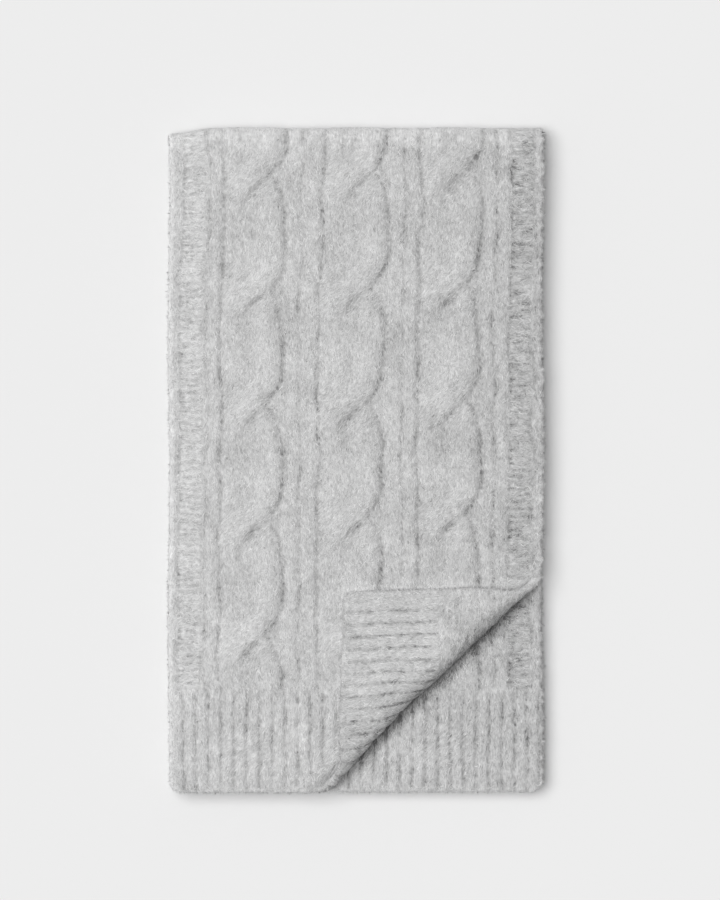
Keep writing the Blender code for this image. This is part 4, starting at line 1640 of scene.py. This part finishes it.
@dataclass
class Nap:
    """The brushed fibres over a stretch of a layer, as thin curved blades."""

    name: str
    layer: Layer
    seed: int
    sides: tuple[Side, ...] = (Side.FACE,)
    start: float = -math.inf
    end: float = math.inf
    density: float = 1.75e6
    jitter: float = 0.6
    length: float = 0.0041
    lengths: tuple[float, float] = (0.55, 1.45)
    width: float = 0.00030
    widths: tuple[float, float] = (0.6, 1.4)
    loft: float = 0.00062
    edge_loft: float = 0.0024
    edge_shortening: float = 0.45
    turn: float = 0.38
    edge_turn: float = 1.8
    border_turn: float = 0.5
    bend: float = 0.52
    spread: float = 0.21
    thinning: float = 0.65
    tilt: float = 0.22
    uprightness: float = 1.1
    steepest: float = 0.00034
    seam_margin: float = 0.0004

    # The rows of a blade: the share of its length, of its width and of its loft. The root is sunk.
    rows: tuple[tuple[float, float, float], ...] = ((0.0, 1.0, 0.0), (0.5, 0.8, 0.75), (1.0, 0.0, 1.0))
    root: float = -0.0001

    def roots(self, side: Side, draw: np.random.Generator) -> tuple[Array, Array]:
        """Spreads the roots evenly over what shows of a side, its edge included.

        Args:
            side: which side of the cloth.
            draw: where the random numbers come from.

        Returns:
            The places across and along the rolled-out cut.
        """
        cut, step = self.layer.cut, 1.0 / math.sqrt(self.density)
        x, v = grid(
            np.arange(-cut.half + EQUATOR, cut.half - EQUATOR, step),
            np.arange(EQUATOR, cut.length - self.seam_margin, step),
        )
        x = x + draw.uniform(-self.jitter, self.jitter, len(x)) * step
        v = v + draw.uniform(-self.jitter, self.jitter, len(v)) * step
        inset = cut.inset(x, v)[0]
        seen = self.layer.shown(side, x, v) | (inset < EDGE_RADIUS + RIM_MARGIN)
        kept = seen & (inset > EQUATOR) & (v >= self.start) & (v < self.end)
        return x[kept], v[kept]

    def grow(self) -> bpy.types.Object:
        """Grows the fibres from their roots along the yarn, each with its own turn, bend and shade.

        Returns:
            The finished piece.
        """
        draw = np.random.default_rng(self.seed)
        finish = self.layer.finish
        blades, triangles, shades, normals = [], [], [], []
        count = 0
        for side in self.sides:
            x, v = self.roots(side, draw)
            points, kept = self.blades(side, x, v, draw)
            x, v = x[kept], v[kept]
            shape = np.array([[0, 1, 3], [0, 3, 2], [2, 3, 4]])[:, :: -side.value]
            first = (count + np.arange(len(x)))[:, None, None] * 5
            triangles.append((first + shape[None]).reshape(-1, 3))
            blades.append(points[kept])
            normals.append(self.normals(side, x, v, draw))
            # Each fibre's shade takes the layer's tone, painted light and shade included
            shades.append(draw.normal(0.5, self.spread, len(x)) + self.layer.tone(side, x, v))
            count += len(x)
        triangles = np.concatenate(triangles)
        piece = add_mesh(self.name, np.concatenate(blades).reshape(-1, 3), triangles)
        facing = np.repeat(np.concatenate(normals), 5, axis=0)
        piece.data.normals_split_custom_set_from_vertices(facing.tolist())
        shade = np.clip(blend(finish.dark_at, 1.0, np.concatenate(shades)), 0.0, 1.0)
        keep_values(piece, FIBRE_SHADE, np.repeat(shade, 5))
        self.map_blades(piece, count, triangles)
        piece.data.materials.append(finish.nap())
        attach(piece, BODY)
        return piece

    def normals(self, side: Side, x: Array, v: Array, draw: np.random.Generator) -> Array:
        """The way each fibre faces: out of the cloth, tilted a little, and up where the cloth is steep.

        Args:
            side: which side of the cloth.
            x: the roots' places across the rolled-out cut.
            v: their places along it.
            draw: where the random numbers come from.

        Returns:
            The directions as rows of three numbers.
        """
        step = 0.001
        out = (self.layer.place(side, x, v, step) - self.layer.place(side, x, v)) / step
        out /= np.maximum(np.linalg.norm(out, axis=1), 1e-9)[:, None]
        steep = np.where(out[:, 2] > -0.4, 1.0 - np.clip(out[:, 2], 0.0, 1.0), 0.0)
        out += draw.normal(0.0, self.tilt, out.shape)
        out[:, 2] += self.uprightness * steep
        return out / np.maximum(np.linalg.norm(out, axis=1), 1e-9)[:, None]

    def blades(
        self, side: Side, x: Array, v: Array, draw: np.random.Generator
    ) -> tuple[Array, Array]:
        """Places the five points of each blade: two at the root, two in the middle and the tip.

        Args:
            side: which side of the cloth.
            x: the roots' places across the rolled-out cut.
            v: their places along it.
            draw: where the random numbers come from.

        Returns:
            The points of each blade, and which blades don't bridge a furrow.
        """
        count = len(x)
        grain_x, grain_v = KNIT.grain(side, x, v)
        on_edge = 1.0 - ease(EQUATOR, 2 * EDGE_RADIUS, self.layer.cut.inset(x, v)[0])
        turn = self.turn * (1.0 + self.edge_turn * on_edge + self.border_turn * KNIT.in_borders(x, v))
        heading = np.arctan2(grain_v, grain_x) + draw.normal(0.0, 1.0, count) * turn
        heading += math.pi * draw.integers(0, 2, count)
        length = self.length * draw.uniform(*self.lengths, count)
        length *= 1.0 - self.edge_shortening * on_edge
        bend = draw.normal(0.0, self.bend, count)
        stands = draw.uniform(0.15, 1.0, count) ** (1.5 + on_edge)
        loft = blend(self.loft, self.edge_loft, on_edge) * stands
        width = self.width * draw.uniform(*self.widths, count)
        placed = []
        for share, wide, high in self.rows:
            turned = heading + bend * share
            along_x = x + length * share * np.cos(turned)
            along_v = v + length * share * np.sin(turned)
            lift = loft * high + (0.0 if share else self.root)
            for edge in ((-0.5, 0.5) if wide else (0.0,)):
                aside = edge * width * wide
                place_x = along_x - aside * np.sin(turned)
                place_v = np.minimum(along_v + aside * np.cos(turned), self.layer.cut.length)
                placed.append(self.layer.place(side, place_x, place_v, lift))
        points = np.stack(placed, axis=1)
        root, middle, tip = points[:, :2].mean(axis=1), points[:, 2:4].mean(axis=1), points[:, 4]
        sag = np.abs(middle[:, 2] - (root[:, 2] + tip[:, 2]) / 2 - 0.25 * loft)
        thinned = draw.uniform(0.0, 1.0, count) < self.thinning * KNIT.furrowed(side, x, v) ** 2
        return points, ((sag < self.steepest) & ~thinned) | (on_edge > 0.02)

    def map_blades(self, piece: bpy.types.Object, count: int, triangles: Array) -> None:
        """Lays the blades out in a square, each in a cell of its own.

        Args:
            piece: the coat of nap.
            count: how many blades it has.
            triangles: the point numbers of each triangle.
        """
        cells = math.ceil(math.sqrt(count))
        number = np.arange(count)
        corner = np.column_stack([number % cells, number // cells]) / cells
        shape = np.array([[0.1, 0.1], [0.9, 0.1], [0.15, 0.6], [0.85, 0.6], [0.5, 0.9]]) / cells
        places = (corner[:, None] + shape[None]).reshape(-1, 2)
        add_map(piece, FLAT_MAP, places[triangles.ravel()])


@dataclass(frozen=True)
class Studio:
    """The pale floor, the soft light from the upper left, and the camera straight above."""

    floor_size: float = 30.0
    floor_shade: float = 0.80
    sky: float = 0.347
    sun: float = 2.35
    sun_angle: float = math.radians(46.0)
    sun_from: Triple = (-0.31, 0.10, 1.0)
    lens: float = 400.0
    sensor: float = 36.0
    frame_height: float = 0.600
    aim: Triple = (0.00233, 0.0060, 0.018)

    def floor(self) -> bpy.types.Object:
        """The floor that the scarf lies on."""
        bpy.ops.object.select_all(action="DESELECT")
        bpy.ops.mesh.primitive_plane_add(size=self.floor_size, location=(0.0, 0.0, 0.0))
        floor = bpy.context.active_object
        floor.name = "floor"
        material = bpy.data.materials.new("pale_floor")
        material.use_nodes = True
        shader = material.node_tree.nodes["Principled BSDF"]
        shader.inputs["Base Color"].default_value = (*[self.floor_shade] * 3, 1.0)
        shader.inputs["Roughness"].default_value = 1.0
        shader.inputs["Specular IOR Level"].default_value = 0.0
        floor.data.materials.append(material)
        return floor

    def lights(self) -> None:
        """A broad soft light from the upper left, and a weak even sky."""
        scene = bpy.context.scene
        scene.view_settings.view_transform = "Standard"
        world = bpy.data.worlds.new("soft_sky")
        world.use_nodes = True
        background = world.node_tree.nodes["Background"]
        background.inputs["Color"].default_value = (1.0, 1.0, 1.0, 1.0)
        background.inputs["Strength"].default_value = self.sky
        scene.world = world
        data = bpy.data.lights.new("window_light", "SUN")
        data.energy = self.sun
        data.angle = self.sun_angle
        light = bpy.data.objects.new("window_light", data)
        light.rotation_mode = "QUATERNION"
        light.rotation_quaternion = Vector(self.sun_from).to_track_quat("Z", "Y")
        scene.collection.objects.link(light)

    def camera(self) -> bpy.types.Object:
        """The camera, straight above, with the top of the picture towards the back folds."""
        data = bpy.data.cameras.new("camera")
        data.lens = self.lens
        data.sensor_width = self.sensor
        distance = self.frame_height * self.lens / self.sensor
        data.clip_end = 4 * distance
        camera = bpy.data.objects.new("camera", data)
        camera.location = Vector(self.aim) + Vector((0.0, 0.0, distance))
        bpy.context.scene.collection.objects.link(camera)
        bpy.context.scene.camera = camera
        return camera


def report(piece: bpy.types.Object) -> None:
    """Logs a finished piece and its count of triangles."""
    log.info("%s: %d triangles", piece.name, len(piece.data.polygons))


def main() -> None:
    logging.basicConfig(level=logging.INFO, format="%(message)s")
    studio = Studio()
    floor = studio.floor()
    studio.lights()
    studio.camera()

    top_wool, under_wool, inner_wool = (
        WoolFinish(f"brushed_wool_{part}") for part in ("top", "under", "inner")
    )
    top_cut = Cut(WIDTH / 2, TOP_LENGTH)
    under_cut = Cut(WIDTH / 2 - 2 * UNDER_INSET, UNDER_LENGTH)
    inner_cut = Cut(WIDTH / 2 - UNDER_INSET, HIDDEN_LENGTH)
    top = TopLayer("top_cloth", "top_layer", "knit_top", 0, top_cut, WALL, top_wool)
    under = UnderLayer("under_cloth", "under_layer", "knit_under", 1, under_cut, WALL, under_wool)
    inner = HiddenLayers(
        "inner_cloth", "inner_layers", "knit_inner", 2, inner_cut, HIDDEN_WALL, inner_wool
    )
    lower, upper = NAP_SPLITS
    layers = (
        (inner, (Nap("inner_nap", inner, 6, tuple(Side), density=1.0e6),)),
        (under, (Nap("under_nap", under, 5, tuple(Side), density=1.5e6),)),
        (top, (
            Nap("top_nap_hem", top, 1, end=lower),
            Nap("top_nap_middle", top, 2, start=lower, end=upper),
            Nap("top_nap_back", top, 3, start=upper),
            Nap("top_nap_reverse", top, 4, (Side.REVERSE,)),
        )),
    )
    for layer, coats in layers:
        piece = layer.build()
        report(piece)
        grown = [nap.grow() for nap in coats]
        for coat in grown:
            report(coat)


if __name__ == "__main__":
    main()
